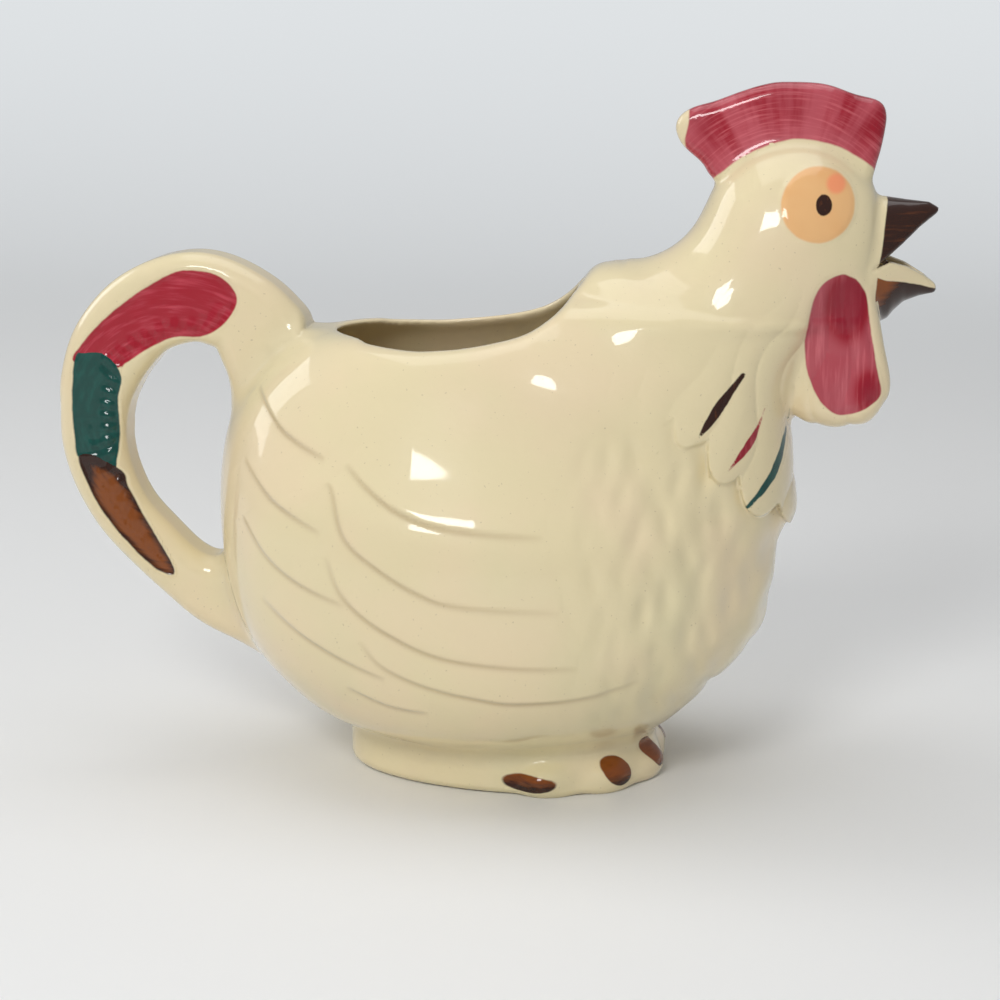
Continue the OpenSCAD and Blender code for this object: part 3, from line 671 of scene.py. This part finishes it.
def net(field, low, high, cell):
    """Four-sided faces between clay and air and between members, with the two sides' labels.
    Label 0 is air. Both halves mirror in y."""
    x = np.arange(low[0], high[0] + cell, cell)
    half = np.arange(0, high[1] + cell, cell)
    z = np.arange(low[2], high[2] + cell, cell)
    place = (x[:, None, None], half[None, :, None], z[None, None, :])
    value = field(*place)
    label = np.full(value.shape, len(members))
    for k, mine in reversed(list(enumerate(claims(*place).values()))):
        label = np.where(mine < 0, k + 1, label)
    label = np.where(value < 0, label, 0)
    right, left = members.index("wattle_right") + 1, members.index("wattle_left") + 1
    lobe = (label == right) | (label == left)
    mirrored = np.where(lobe, right, label)[:, :0:-1]
    label = np.concatenate([mirrored, np.where(lobe, left, label)], axis=1)
    value = np.concatenate([value[:, :0:-1], value], axis=1)
    y = np.concatenate([-half[:0:-1], half])
    cells = tuple(n - 1 for n in label.shape)
    corner = [np.array((i, j, k)) for i in (0, 1) for j in (0, 1) for k in (0, 1)]
    first = label[:-1, :-1, :-1]
    mixed = np.zeros(cells, bool)
    for o in corner:
        mixed |= label[tuple(slice(a, a + n) for a, n in zip(o, cells))] != first
    active = np.nonzero(mixed)
    ids = np.full(cells, -1)
    ids[active] = np.arange(len(active[0]))
    base = np.stack(active, -1)
    total = np.zeros(base.shape)
    hits = np.zeros(len(base))
    for axis in range(3):
        step = np.eye(3, dtype=int)[axis]
        for o in corner:
            if o[axis]:
                continue
            a = base + o
            la, lb = label[tuple(a.T)], label[tuple((a + step).T)]
            va, vb = value[tuple(a.T)], value[tuple((a + step).T)]
            skin = (la == 0) != (lb == 0)
            share = np.where(skin, va / np.where(skin, va - vb, 1), 0.5)
            pull = np.where(skin, 1.0, 0.2) * (la != lb)
            total += (a + share[:, None] * step) * pull[:, None]
            hits += pull
    spot = total / hits[:, None]
    points = np.stack([np.interp(spot[:, k], np.arange(len(line)), line)
                       for k, line in enumerate((x, y, z))], -1)
    faces, sides = [], []
    for axis in range(3):
        a, b = (axis + 1) % 3, (axis + 2) % 3
        one = np.take(label, range(label.shape[axis] - 1), axis)
        two = np.take(label, range(1, label.shape[axis]), axis)
        at = np.stack(np.nonzero(one != two), -1)
        at = at[(at[:, a] > 0) & (at[:, b] > 0) & (at[:, a] < cells[a]) & (at[:, b] < cells[b])]
        quad = []
        for da, db in ((-1, -1), (0, -1), (0, 0), (-1, 0)):
            q = at.copy()
            q[:, a] += da
            q[:, b] += db
            quad.append(ids[tuple(q.T)])
        faces.append(np.stack(quad, -1))
        sides.append(np.stack([one[tuple(at.T)], two[tuple(at.T)]], -1))
    return points, np.concatenate(faces), np.concatenate(sides)


def unit(rows):
    """Each row at a length of 1."""
    return rows / (np.linalg.norm(rows, axis=1)[:, None] + 1e-12)


def slope_of(field, points):
    """How a field grows along x, y and z, from a little to both sides of each point."""
    h = 0.05
    p = [points[:, k] for k in range(3)]
    out = []
    for k in range(3):
        a, b = list(p), list(p)
        a[k], b[k] = p[k] + h, p[k] - h
        out.append((field(*a) - field(*b)) / (2 * h))
    return np.stack(out, -1)


def settle(field, points, reach=0.7):
    """Points moved onto the zero surface of a field."""
    f = field(*points.T)
    g = slope_of(field, points)
    move = (f / np.maximum((g * g).sum(1), 0.2))[:, None] * g
    return points - np.clip(move, -reach, reach), g


def summed(index, rows, count):
    """Sum of the rows that belong to each of that many points."""
    return np.stack([np.bincount(index, rows[:, axis], count) for axis in range(3)], -1)


def relax(points, faces, share=0.5):
    """Points moved towards the middle of their neighbours."""
    total = np.zeros(points.shape)
    count = np.zeros(len(points))
    for k in range(4):
        a, b = faces[:, k], faces[:, (k + 1) % 4]
        for here, there in ((a, b), (b, a)):
            total += summed(here, points[there], len(points))
            count += np.bincount(here, minlength=len(points))
    moved = total / np.maximum(count, 1)[:, None]
    return np.where(count[:, None] > 0, points + (moved - points) * share, points)


def halve(points, faces):
    """Every four-sided face cut in four."""
    sides = np.concatenate([faces[:, [k, (k + 1) % 4]] for k in range(4)])
    keys = np.sort(sides, axis=1)
    keys, back = np.unique(keys[:, 0] * len(points) + keys[:, 1], return_inverse=True)
    a, b = keys // len(points), keys % len(points)
    mids = back.reshape(4, -1).T + len(points)
    core = np.arange(len(faces)) + len(points) + len(keys)
    new = [np.stack([faces[:, k], mids[:, k], core, mids[:, k - 1]], -1) for k in range(4)]
    return (np.concatenate([points, (points[a] + points[b]) / 2, points[faces].mean(1)]),
            np.concatenate(new))


def to_seams(points, faces, sides):
    """Skin points where two members meet, moved along the skin onto the line between them."""
    low = np.full(len(points), 99)
    high = np.zeros(len(points), int)
    skin = (sides == 0).any(1)
    owner = sides[skin].max(1)
    for k in range(4):
        np.minimum.at(low, faces[skin][:, k], owner)
        np.maximum.at(high, faces[skin][:, k], owner)
    pick = np.nonzero(low < high)[0]
    mine = low[pick] - 1

    def chosen(x, y, z):
        return np.array(list(claims(x, y, z).values()))[mine, np.arange(len(x))]

    spots = points[pick]
    for _ in range(3):
        g = slope_of(chosen, spots)
        normal = unit(slope_of(clay_field, spots))
        g -= (g * normal).sum(1)[:, None] * normal
        move = (chosen(*spots.T) / np.maximum((g * g).sum(1), 0.3))[:, None] * g
        spots, _ = settle(clay_field, spots - np.clip(move, -0.25, 0.25), 0.3)
    points[pick] = spots
    return points


def sponge(points):
    """How far the wet clay was sponged smooth: the collar where the neck grows from the bowl."""
    d = np.hypot((points[:, 0] - front_l * 0.34) / 34, (points[:, 2] - rim_h - 3) / 15)
    low = np.clip((height_along(rim_shares, points[:, 0]) - points[:, 2]) / 5, 0, 1)
    return np.clip(1.6 * (1 - d), 0, 1) * low * (points[:, 0] > front_l * 0.1)


def face_normals(points, faces):
    return unit(np.cross(points[faces[:, 2]] - points[faces[:, 0]],
                         points[faces[:, 3]] - points[faces[:, 1]]))


def skin_normals(points, faces, sides):
    """Average direction of the skin's faces at each point, out of the clay."""
    out = face_normals(points, faces) * np.where(sides[:, 0] == 0, -1, 1)[:, None]
    return unit(sum(summed(faces[:, k], out, len(points)) for k in range(4)))


def touched(points, faces):
    """Which points these faces use."""
    out = np.zeros(len(points), bool)
    out[faces] = True
    return out


net_cell = 1.5
points, faces, sides = net(clay_field, jug_low - 3, jug_high + 3, net_cell)
skin = (sides == 0).any(1)
on_skin = touched(points, faces[skin])
for _ in range(2):
    points[on_skin] = settle(clay_field, relax(points, faces[skin]))[0][on_skin]
soft = sponge(points) * on_skin
for _ in range(26):
    points += (relax(points, faces[skin], 0.7) - points) * soft[:, None]
points, faces = halve(points, faces)
sides = np.tile(sides, (4, 1))
skin = np.tile(skin, 4)
on_skin = touched(points, faces[skin])
soft = sponge(points) * on_skin
firm = 1 - soft[:, None]
settled, slope = settle(clay_field, points[on_skin])
points[on_skin] += (settled - points[on_skin]) * firm[on_skin]

# Where a seam would fold a face over, its points stay where they were
free = points.copy()
points = to_seams(points, faces, sides)
tilt = face_normals(points, faces[skin]) * face_normals(free, faces[skin])
folded = np.unique(faces[skin][tilt.sum(1) < 0.6])
points[folded] = free[folded]
for _ in range(6):
    points = np.where(on_skin[:, None], points, relax(points, faces[~skin]))
points = np.clip(points, jug_low, jug_high)
normals = skin_normals(points, faces[skin], sides[skin])
flow = np.zeros(points.shape)
flow[on_skin] = unit(slope)
agree = (flow * normals > 0).any(1)[:, None]
normals = unit(normals + (flow - normals) * firm * agree)
outer = on_skin & (np.abs(outside_field(*points.T)) < 0.8 + 6 * soft)


# All members are dipped in one glaze and fired together: a cream, brown in the grooves for pooled
# glaze and painted shade, under a clear glossy coat, with fine specks of iron. Each member keeps
# its own closed mesh.
class Wire:
    """An output of a node in a glaze, which sums and further nodes take as it is."""

    def __init__(self, socket):
        self.socket = socket

    def node(self, kind, settings, inputs, output=0):
        """Output of a new node in this tree: its settings first, then values or links."""
        tree = self.socket.id_data
        made = tree.nodes.new(kind)
        for name, value in settings.items():
            setattr(made, name, value)
        for name, value in inputs.items():
            if isinstance(value, Wire):
                tree.links.new(value.socket, made.inputs[name])
            else:
                made.inputs[name].default_value = value
        return Wire(made.outputs[output])

    def math(self, operation, *others):
        return self.node("ShaderNodeMath", {"operation": operation},
                         dict(enumerate((self, *others))))

    def __add__(self, other):
        return self.math("ADD", other)

    def __sub__(self, other):
        return self.math("SUBTRACT", other)

    def __mul__(self, other):
        return self.math("MULTIPLY", other)

    def __rsub__(self, other):
        return self * -1 + other

    __radd__ = __add__
    __rmul__ = __mul__

    def step(self, start, end):
        """0 below start, 1 above end, smooth between."""
        return self.node("ShaderNodeMapRange", {"interpolation_type": "SMOOTHSTEP"},
                         {"Value": self, "From Min": start, "From Max": end})

    def mix(self, a, b):
        """Colour a where this is 0, colour b where it is 1."""
        return self.node("ShaderNodeMix", {"data_type": "RGBA"}, {"Factor": self, 6: a, 7: b}, 2)

    def noise(self, scale, detail=3.0, stretch=(1, 1, 1)):
        """Cloudy value from 0 to 1 over this place, drawn out along an axis."""
        place = self.node("ShaderNodeVectorMath", {"operation": "MULTIPLY"},
                          {0: self, 1: stretch})
        return place.node("ShaderNodeTexNoise", {}, {"Vector": place, "Scale": scale,
                                                     "Detail": detail})


def new_material(name, values):
    """Material and its shader, with what is the same all over it on the shader's own sockets."""
    material = bpy.data.materials.new(name)
    material.use_nodes = True
    shader = material.node_tree.nodes["Principled BSDF"]
    for socket, value in values.items():
        shader.inputs[socket].default_value = value
    return material, shader


def start_glaze(name, roughness):
    """Material with a clear coat, its shader, the place on the jug and a reader of values."""
    material, shader = new_material(name, {
        "Roughness": roughness, "Specular IOR Level": 0.1, "Coat IOR": 1.4, "Coat Weight": 1.0,
        "Coat Roughness": 0.04})
    place = Wire(shader.outputs[0]).node("ShaderNodeTexCoord", {}, {}, "Object")

    def value(attribute):
        return place.node("ShaderNodeAttribute", {"attribute_name": attribute}, {}, 2)

    return material, shader, place, value


def cream_colour(place, value):
    """Pale clear glaze: warm and cool clouds, brown in the grooves for pooled glaze and painted
    shade, with fine iron specks.
    """
    clouds = place.noise(28, 3)
    warm = clouds.step(0.4, 0.66).mix((0.78, 0.67, 0.42, 1), (0.80, 0.66, 0.43, 1))
    cool = place.noise(17, 2, (1, 1, 0.7)).step(0.5, 0.74).mix(warm, (0.745, 0.665, 0.415, 1))
    # Painted shade: the feather grooves turn brown for the shadow under each edge as well as for
    # the glaze that pools there
    pooled_and_shaded = (value("groove") * 0.6).mix(cool, (0.50, 0.37, 0.20, 1))
    speck = place.noise(1500, 0).step(0.8, 0.86) * 0.3
    return speck.mix(pooled_and_shaded, (0.30, 0.21, 0.12, 1))


def finish_glaze(shader, colour, place, wave):
    """Colour linked to the shader, and the slightly wavy surface that a fired glaze has."""
    tree = shader.id_data
    tree.links.new(colour.socket, shader.inputs["Base Color"])
    uneven = place.noise(120, 2) * 0.7 + place.noise(430, 1) * 0.3
    bump = place.node("ShaderNodeBump", {}, {"Strength": wave, "Distance": 0.004,
                                             "Height": uneven})
    tree.links.new(bump.socket, shader.inputs["Normal"])


cream_glaze, shader, place, value = start_glaze("cream_glaze", 0.3)
finish_glaze(shader, cream_colour(place, value), place, 0.05)


def placed(name, data):
    """New object in the scene."""
    thing = bpy.data.objects.new(name, data)
    bpy.context.scene.collection.objects.link(thing)
    return thing


def build(name, points, faces, corner_normals, values, material, slot):
    """Mesh object from places in millimetres, its corners' normals and named point values."""
    mesh = bpy.data.meshes.new(name)
    mesh.vertices.add(len(points))
    mesh.vertices.foreach_set("co", (points * MM).astype(np.float32).ravel())
    mesh.loops.add(faces.size)
    mesh.loops.foreach_set("vertex_index", faces.astype(np.int32).ravel())
    mesh.polygons.add(len(faces))
    mesh.polygons.foreach_set("loop_start", np.arange(0, faces.size, 4, dtype=np.int32))
    mesh.polygons.foreach_set("use_smooth", np.ones(len(faces), bool))
    mesh.update(calc_edges=True)
    for key, data in values.items():
        mesh.attributes.new(key, "FLOAT", "POINT").data.foreach_set(
            "value", data.astype(np.float32))
    mesh.normals_split_custom_set(corner_normals.reshape(-1, 3))
    mesh.materials.append(material)
    piece = placed(name, mesh)
    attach(piece, "root")
    return piece


def member(name, material, slot, more=None):
    """One clay member: its skin and the faces that close it towards its neighbours."""
    mine = members.index(name) + 1
    picked = (sides == mine).any(1)
    turned = sides[picked][:, 1] == mine
    quads = np.where(turned[:, None], faces[picked][:, ::-1], faces[picked])
    flat = np.repeat(face_normals(points, quads)[:, None], 4, axis=1)
    corner = np.where(skin[picked][:, None, None], normals[quads], flat)
    used, local = np.unique(quads, return_inverse=True)
    at = points[used]
    values = {"groove": fine_board.read(groove, at[:, 0], at[:, 2]) * outer[used]}
    if more:
        values.update(more(at, used))
    return build(name, at, local.reshape(quads.shape), corner, values, material, slot)


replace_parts(member("bowl", cream_glaze, "cream_glaze"), "bowl", "wing_right", "wing_left")
for name in ("neck", "head", "wattle_right", "wattle_left", "tail_handle", "foot"):
    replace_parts(member(name, cream_glaze, "cream_glaze"), name)


# Coloured underglazes are brushed on the clay and lie under the same clear coat. Their strokes
# follow each feature, so the glaze takes places along and across the brush from its piece.
def brushed(value, fine, long):
    """Streaks of a brush, 0 to 1, a fine count across and a long one along the stroke."""
    across, along_it = value("across"), value("along")
    place = across.node("ShaderNodeCombineXYZ", {}, {"X": across * fine, "Y": along_it * long})
    return place.node("ShaderNodeTexNoise", {}, {"Vector": place, "Scale": 1.0, "Detail": 4.0})


def painted(name, colour, fine, long, soft=0.5, under=cream_colour):
    """Glaze of a painted field that thins out into the colour under its brushed edge."""
    glaze, shader, place, value = start_glaze(name, 0.25)
    ragged = place.noise(260, 2) - 0.5
    inside = (value("paint") + ragged * 0.5).step(-0.05, soft)
    streaks = brushed(value, fine, long)
    finish_glaze(shader, inside.mix(under(place, value), colour(streaks, value, place)),
                 place, 0.035)
    return glaze


def red(streaks, value, place):
    """Maroon, thin and pink where the brush left streaks, dark where it overlapped."""
    thin = streaks.step(0.45, 0.74).mix((0.34, 0.008, 0.022, 1), (0.60, 0.12, 0.14, 1))
    dark = place.noise(55, 2).step(0.4, 0.65) * 0.6
    return dark.mix(thin, (0.26, 0.003, 0.014, 1))


def round_places(at, middle):
    """Places across and along a brush that turned round a middle in the side view."""
    dx, dz = at[:, 0] - middle[0], at[:, 2] - middle[1]
    r = np.hypot(dx, dz)
    return {"across": r, "along": np.arctan2(dz, dx) * r.mean()}


def comb_red(streaks, value, place):
    """Red with pale bands across the crest, paler still along its root."""
    bands = brushed(value, 0.02, 0.13).step(0.38, 0.62) * 0.55
    base = red(streaks, value, place)
    low = (1 - value("paint").step(0.5, 7)) * 0.35
    return low.mix(bands.mix(base, (0.62, 0.14, 0.17, 1)), (0.62, 0.15, 0.18, 1))


comb_glaze = painted("comb_glaze", comb_red, 1.5, 0.09, 0.6)
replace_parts(member("comb", comb_glaze, "red_glaze", lambda at, used: {
    "paint": -fine_board.read(paints["comb"], at[:, 0], at[:, 2]),
    **round_places(at, head_middle)}), "comb")


# The beak's halves are dipped in dark brown outside, up to where they leave the head. The lower
# half keeps a cream lip.
def dark_brown(streaks, value, place):
    return streaks.step(0.55, 0.8).mix((0.030, 0.007, 0.002, 1), (0.12, 0.032, 0.006, 1))


def amber(streaks, value, place):
    """Caramel where the value named dark is low, nearly black where it is high."""
    shade = (value("dark") + (streaks - 0.5) * 0.8).step(0.2, 0.8)
    return shade.mix((0.22, 0.055, 0.004, 1), (0.028, 0.007, 0.002, 1))


lower_paint = [(0.822, 0.287), (0.839, 0.269), (0.873, 0.241), (0.925, 0.227), (0.976, 0.203),
               (1.004, 0.188)]


def lengthwise(at):
    """Places across and along a brush that runs from tail to beak."""
    return {"across": at[:, 2], "along": at[:, 0]}


def dipped(at, used):
    """How far outside skin is in front of the line that the head ends at."""
    return np.where(outer[used], half_plane(*mouth_line, at[:, 0], at[:, 2]) - 0.4, -1)


upper_glaze = painted("upper_glaze", dark_brown, 0.9, 0.08, 0.4)
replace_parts(member("upper_beak", upper_glaze, "brown_glaze", lambda at, used: {
    "paint": dipped(at, used), **lengthwise(at)}), "upper_beak")
# The lower half's dark value is painted light: a caramel painted highlight towards its back and
# top, and painted shade towards the tip and underneath
lower_glaze = painted("lower_glaze", amber, 0.8, 0.1, 0.4)
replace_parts(member("lower_beak", lower_glaze, "caramel_glaze", lambda at, used: {
    "paint": np.where(outer[used], np.minimum(
        dipped(at, used), height_along(lower_paint, at[:, 0]) - at[:, 2]), -1),
    **lengthwise(at),
    "dark": (at[:, 0] / front_l - 0.86) * 18 + (0.2 - (at[:, 2] - rim_h) / upper_h) * 6}),
    "lower_beak")

# The painted fields are thin sheets of glaze over the clay, one on each side of the bird. Each
# is thickest inside its soft edge and reaches a little way past it, where it is clear.
skin_side = normals[:, 1] * np.sign(points[:, 1]) > 0.25
sheet_past, sheet_soft, sheet_sunk = 0.9, 1.2, 0.25
spread = 0.35  # how far the tail's glazes run over their drawn edges


def over_side(key):
    """Distance from a painted field, read at every point of the skin."""
    return fine_board.read(paints[key], points[:, 0], points[:, 2])


def sheet(name, distance, material, slot, places, base=0.02, lift=0.13, dark=None,
          beside=None, where=skin_side):
    """Closed thin piece over the skin where a distance in millimetres is negative."""
    near = (distance < sheet_past) & outer & where
    picked = skin & near[faces].all(1)
    turned = sides[picked][:, 0] == 0
    quads = np.where(turned[:, None], faces[picked][:, ::-1], faces[picked])
    used, local = np.unique(quads, return_inverse=True)
    top = local.reshape(quads.shape)
    deep = np.clip(-distance[used] / sheet_soft, 0, 1)
    rise = base + lift * deep * deep * (3 - 2 * deep)
    out = normals[used]
    low = top[:, ::-1] + len(used)
    edges = np.concatenate([top[:, [k, (k + 1) % 4]] for k in range(4)])
    key = edges[:, 0] * len(used) + edges[:, 1]
    lone = edges[~np.isin(key, edges[:, 1] * len(used) + edges[:, 0])]
    walls = np.stack([lone[:, 1], lone[:, 0], lone[:, 0] + len(used), lone[:, 1] + len(used)], -1)
    at = np.concatenate([points[used] + out * rise[:, None], points[used] - out * sheet_sunk])
    at = np.clip(at, jug_low, jug_high)
    quads = np.concatenate([top, low, walls])
    corner = np.repeat(face_normals(at, quads)[:, None], 4, axis=1)
    corner[:len(top)] = out[top]
    values = {"paint": np.concatenate([-distance[used], np.full(len(used), -1.0)]),
              "groove": fine_board.read(groove, at[:, 0], at[:, 2]), **places(at)}
    if dark is not None:
        values["dark"] = dark(at)
    if beside is not None:
        values["beside"] = np.tile(spread - over_side(beside)[used], 2)
    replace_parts(build(name, at, quads, corner, values, material, slot), name)


# Tail: red over the top of the curl, then dark green, then brown down to the rump, each brushed
# a little over the one before
def round_window(at):
    return round_places(at, window)


def brushed_over(colour, fine, long):
    """What shows at a field's edge: cream, or the glaze beside it that it was brushed over."""
    def under(place, value):
        beside = colour(brushed(value, fine, long), value, place)
        return value("beside").step(-0.05, 0.4).mix(cream_colour(place, value), beside)
    return under


def deep_red(streaks, value, place):
    return streaks.step(0.44, 0.82).mix((0.36, 0.006, 0.02, 1), (0.55, 0.06, 0.09, 1))


def deep_green(streaks, value, place):
    return streaks.step(0.4, 0.75).mix((0.0, 0.052, 0.041, 1), (0.002, 0.075, 0.06, 1))


def tail_shade(at):
    """Darker along the brown field's edge and at its upper end."""
    inside = -fine_board.read(paints["tail_glaze_brown"], at[:, 0], at[:, 2])
    return (0.75 - np.clip(inside / 3.0, 0, 1) * 0.8
            + np.clip((at[:, 2] - rim_h * 0.62) / 12, 0, 1))


tail_red = painted("tail_red_glaze", deep_red, 0.8, 0.1)
tail_green = painted("tail_green_glaze", deep_green, 0.6, 0.2,
                     under=brushed_over(deep_red, 0.8, 0.1))
tail_brown = painted("tail_brown_glaze", amber, 0.9, 0.12,
                     under=brushed_over(deep_green, 0.6, 0.2))
for name, glaze, slot, base, dark, beside in (
        ("tail_glaze_red", tail_red, "red_glaze", 0.02, None, None),
        ("tail_glaze_green", tail_green, "green_glaze", 0.1, None, "tail_glaze_red"),
        ("tail_glaze_brown", tail_brown, "caramel_glaze", 0.18, tail_shade, "tail_glaze_green")):
    sheet(name, over_side(name) - spread, glaze, slot, round_window, base, dark=dark,
          beside=beside)


# Wattles: one red field on the outer side of each, brushed upright, darker at the top and low at
# the front
def straight(at):
    """Places across and along a brush that runs upright."""
    return {"across": at[:, 0], "along": at[:, 2]}


def wattle_colour(streaks, value, place):
    base = red(streaks, value, place)
    pale = (1 - value("dark").step(0.1, 0.6)) * 0.45
    return (value("dark").step(0.35, 1.0) * 0.8).mix(
        pale.mix(base, (0.58, 0.15, 0.18, 1)), (0.27, 0.004, 0.02, 1))


def wattle_shade(at):
    """Darker at the top and low at the front."""
    spots = up([(0.8, 0.2), (0.845, -0.2), (0.79, 0.1)])
    return sum(np.exp(-((at[:, 0] - x) / half_x)**2 - ((at[:, 2] - z) / half_z)**2)
               for (x, z), half_x, half_z in zip(spots, (5.5, 3.6, 5), (6, 6, 7)))


wattle_red = painted("wattle_red_glaze", wattle_colour, 0.7, 0.06)
sheet("wattle_glaze", over_side("wattle_glaze"), wattle_red, "red_glaze", straight,
      dark=wattle_shade)


# Eyes: a peach field washed over each boss, with a warmer blot above, and a dark brown pupil
# dotted on top of it
blot = up([(0.758, 0.622)])[0]
blot_r = 2.7


def peach(streaks, value, place):
    """An even wash, so it takes no notice of the brush's streaks."""
    base = place.noise(70, 2).step(0.35, 0.65).mix((0.80, 0.42, 0.17, 1), (0.83, 0.48, 0.21, 1))
    return (value("dark").step(0.1, 0.9) * 0.75).mix(base, (0.92, 0.27, 0.13, 1))


def eye_blot(at):
    return np.exp(-(np.hypot(at[:, 0] - blot[0], at[:, 2] - blot[1]) / blot_r)**4)


eye_glaze = painted("eye_glaze", peach, 0.3, 0.3, 0.8)
sheet("eye_patches", over_side("eye_patches"), eye_glaze, "peach_glaze", straight,
      dark=eye_blot)
pupil_glaze = painted("pupil_glaze", dark_brown, 0.9, 0.4, 0.3,
                      under=lambda place, value: peach(None, value, place))
sheet("pupils", over_side("pupils"), pupil_glaze, "brown_glaze", straight, 0.16,
      dark=eye_blot)

# Hackle: three strokes of a thin brush on each side, brown, red and green, that follow feathers
# over the breast
for name, colour, slot in (("brown", dark_brown, "caramel_glaze"), ("red", red, "red_glaze"),
                           ("green", deep_green, "green_glaze")):
    stroke_glaze = painted("stroke_" + slot, colour, 0.8, 0.2, 0.35)
    sheet("hackle_stroke_" + name, over_side("hackle_stroke_" + name), stroke_glaze, slot,
          straight)

# Claws: blots of brown glaze on the ends of the toes, three on each side. Shares of the foot's
# length and half width, height, half length, half height and lean
claw_spots = [(0.58, 0.88, 4.2, 7.8, 2.5, 0.0), (0.845, 0.75, 6.0, 4.9, 4.2, 0.4),
              (0.955, 0.36, 7.6, 4.1, 5.0, 0.5)]
claw_reach, far = 14, 9.0
claw_d = np.full(len(points), far)
for along_l, along_w, height, half_u, half_v, lean in claw_spots:
    middle = np.array((foot_low[0] + along_l * foot_l, along_w * foot_half_w))
    way = middle - (foot_low[0] + 0.55 * foot_l, 0)
    way /= np.linalg.norm(way)
    du = ((points[:, 0] - middle[0]) * -way[1] + (np.abs(points[:, 1]) - middle[1]) * way[0])
    dz = points[:, 2] - height
    u, v = du - dz * lean, dz + du * lean * 0.3
    facing = normals[:, 0] * way[0] + normals[:, 1] * np.sign(points[:, 1]) * way[1]
    away = np.hypot(points[:, 0] - middle[0], np.abs(points[:, 1]) - middle[1])
    bare = (away > claw_reach) | (facing < 0.15) | (points[:, 2] < 0.3)
    claw_d = np.minimum(claw_d, np.where(bare, far, oval(u, v, half_u, half_v)))

claw_glaze = painted("claw_glaze", amber, 1.0, 0.25, 0.35)
sheet("claws", claw_d, claw_glaze, "brown_glaze", lengthwise, lift=0.4, where=True,
      dark=lambda at: 0.75 - np.clip((at[:, 2] - 3) / 6, -0.5, 0.5))

# The camera stands on the bird's right, a little in front and above, as far off as puts the jug
# where the photograph has it.
view_middle = np.array((0, 0, 75.6))
camera_away = 636.0
pitch, yaw = math.radians(13), math.radians(6)
out = np.array((math.sin(yaw) * math.cos(pitch), -math.cos(yaw) * math.cos(pitch),
                math.sin(pitch)))
camera_data = bpy.data.cameras.new("camera")
camera_data.lens = 82
camera_data.sensor_width = 36
camera = placed("camera", camera_data)
camera.location = (view_middle + out * camera_away) * MM
camera.rotation_euler = (math.pi / 2 - pitch, 0, yaw)
bpy.context.scene.camera = camera


# The lamps are a window in front, a pale wall beside the tail and a ceiling, all wide and soft,
# in a room that is pale all round.
def lamp(name, place, aim, size, power):
    """Lamp of that size and power in watts, aimed at a place."""
    data = bpy.data.lights.new(name, "AREA")
    data.shape = "RECTANGLE"
    data.size, data.size_y = (s * MM for s in size)
    data.energy = power
    light = placed(name, data)
    spot = np.array(place) * MM
    light.location = spot
    way = np.array(aim) * MM - spot
    light.rotation_euler = (math.acos(-way[2] / np.linalg.norm(way)), 0,
                            math.atan2(way[1], way[0]) - math.pi / 2)


lamp("window", (-190, -850, 675), (0, 0, 90), (320, 240), 4.2)
lamp("side", (-1100, 300, 700), (0, 0, 80), (600, 600), 3.4)
lamp("ceiling", (0, 100, 1150), (0, 0, 0), (900, 900), 3.8)
world = bpy.data.worlds.new("room")
bpy.context.scene.world = world
world.use_nodes = True
room = world.node_tree.nodes["Background"]
room.inputs["Color"].default_value = (0.9, 0.92, 0.95, 1)
room.inputs["Strength"].default_value = 0.45

# The floor is one sheet of pale matt paper, in metres, that bends up behind the jug. The camera
# sees it glow a little there, so that the back stays pale without more light on the jug.
reach, bend_start, bend_r, bend_count = 4.0, 1.0, 1.2, 24
sweep = [(-reach, 0), (bend_start, 0)]
for k in range(1, bend_count + 1):
    turn = math.radians(90 * k / bend_count)
    sweep.append((bend_start + bend_r * math.sin(turn), bend_r * (1 - math.cos(turn))))
sweep.append((bend_start + bend_r, reach))
floor_mesh = bpy.data.meshes.new("floor")
floor_mesh.from_pydata([(side * reach, y, z) for y, z in sweep for side in (-1, 1)], [],
                       [(2 * k, 2 * k + 1, 2 * k + 3, 2 * k + 2) for k in range(len(sweep) - 1)])
for face in floor_mesh.polygons:
    face.use_smooth = True
floor = placed("floor", floor_mesh)
paper, shader = new_material("paper", {"Base Color": (0.82, 0.82, 0.81, 1), "Roughness": 0.6})
matt = Wire(shader.outputs[0])
spot = matt.node("ShaderNodeNewGeometry", {}, {}, "Position")
behind = spot.node("ShaderNodeSeparateXYZ", {}, {"Vector": spot}, 1).step(0.35, 1.9)
seen = spot.node("ShaderNodeLightPath", {}, {})
glow = spot.node("ShaderNodeEmission", {}, {"Color": (0.80, 0.83, 0.85, 1), "Strength": 0.95})
wall_light = spot.node("ShaderNodeMixShader", {}, {0: seen * behind, 1: matt, 2: glow})
paper.node_tree.links.new(wall_light.socket,
                          paper.node_tree.nodes["Material Output"].inputs["Surface"])
floor_mesh.materials.append(paper)
bpy.context.scene.view_settings.view_transform = "Standard"
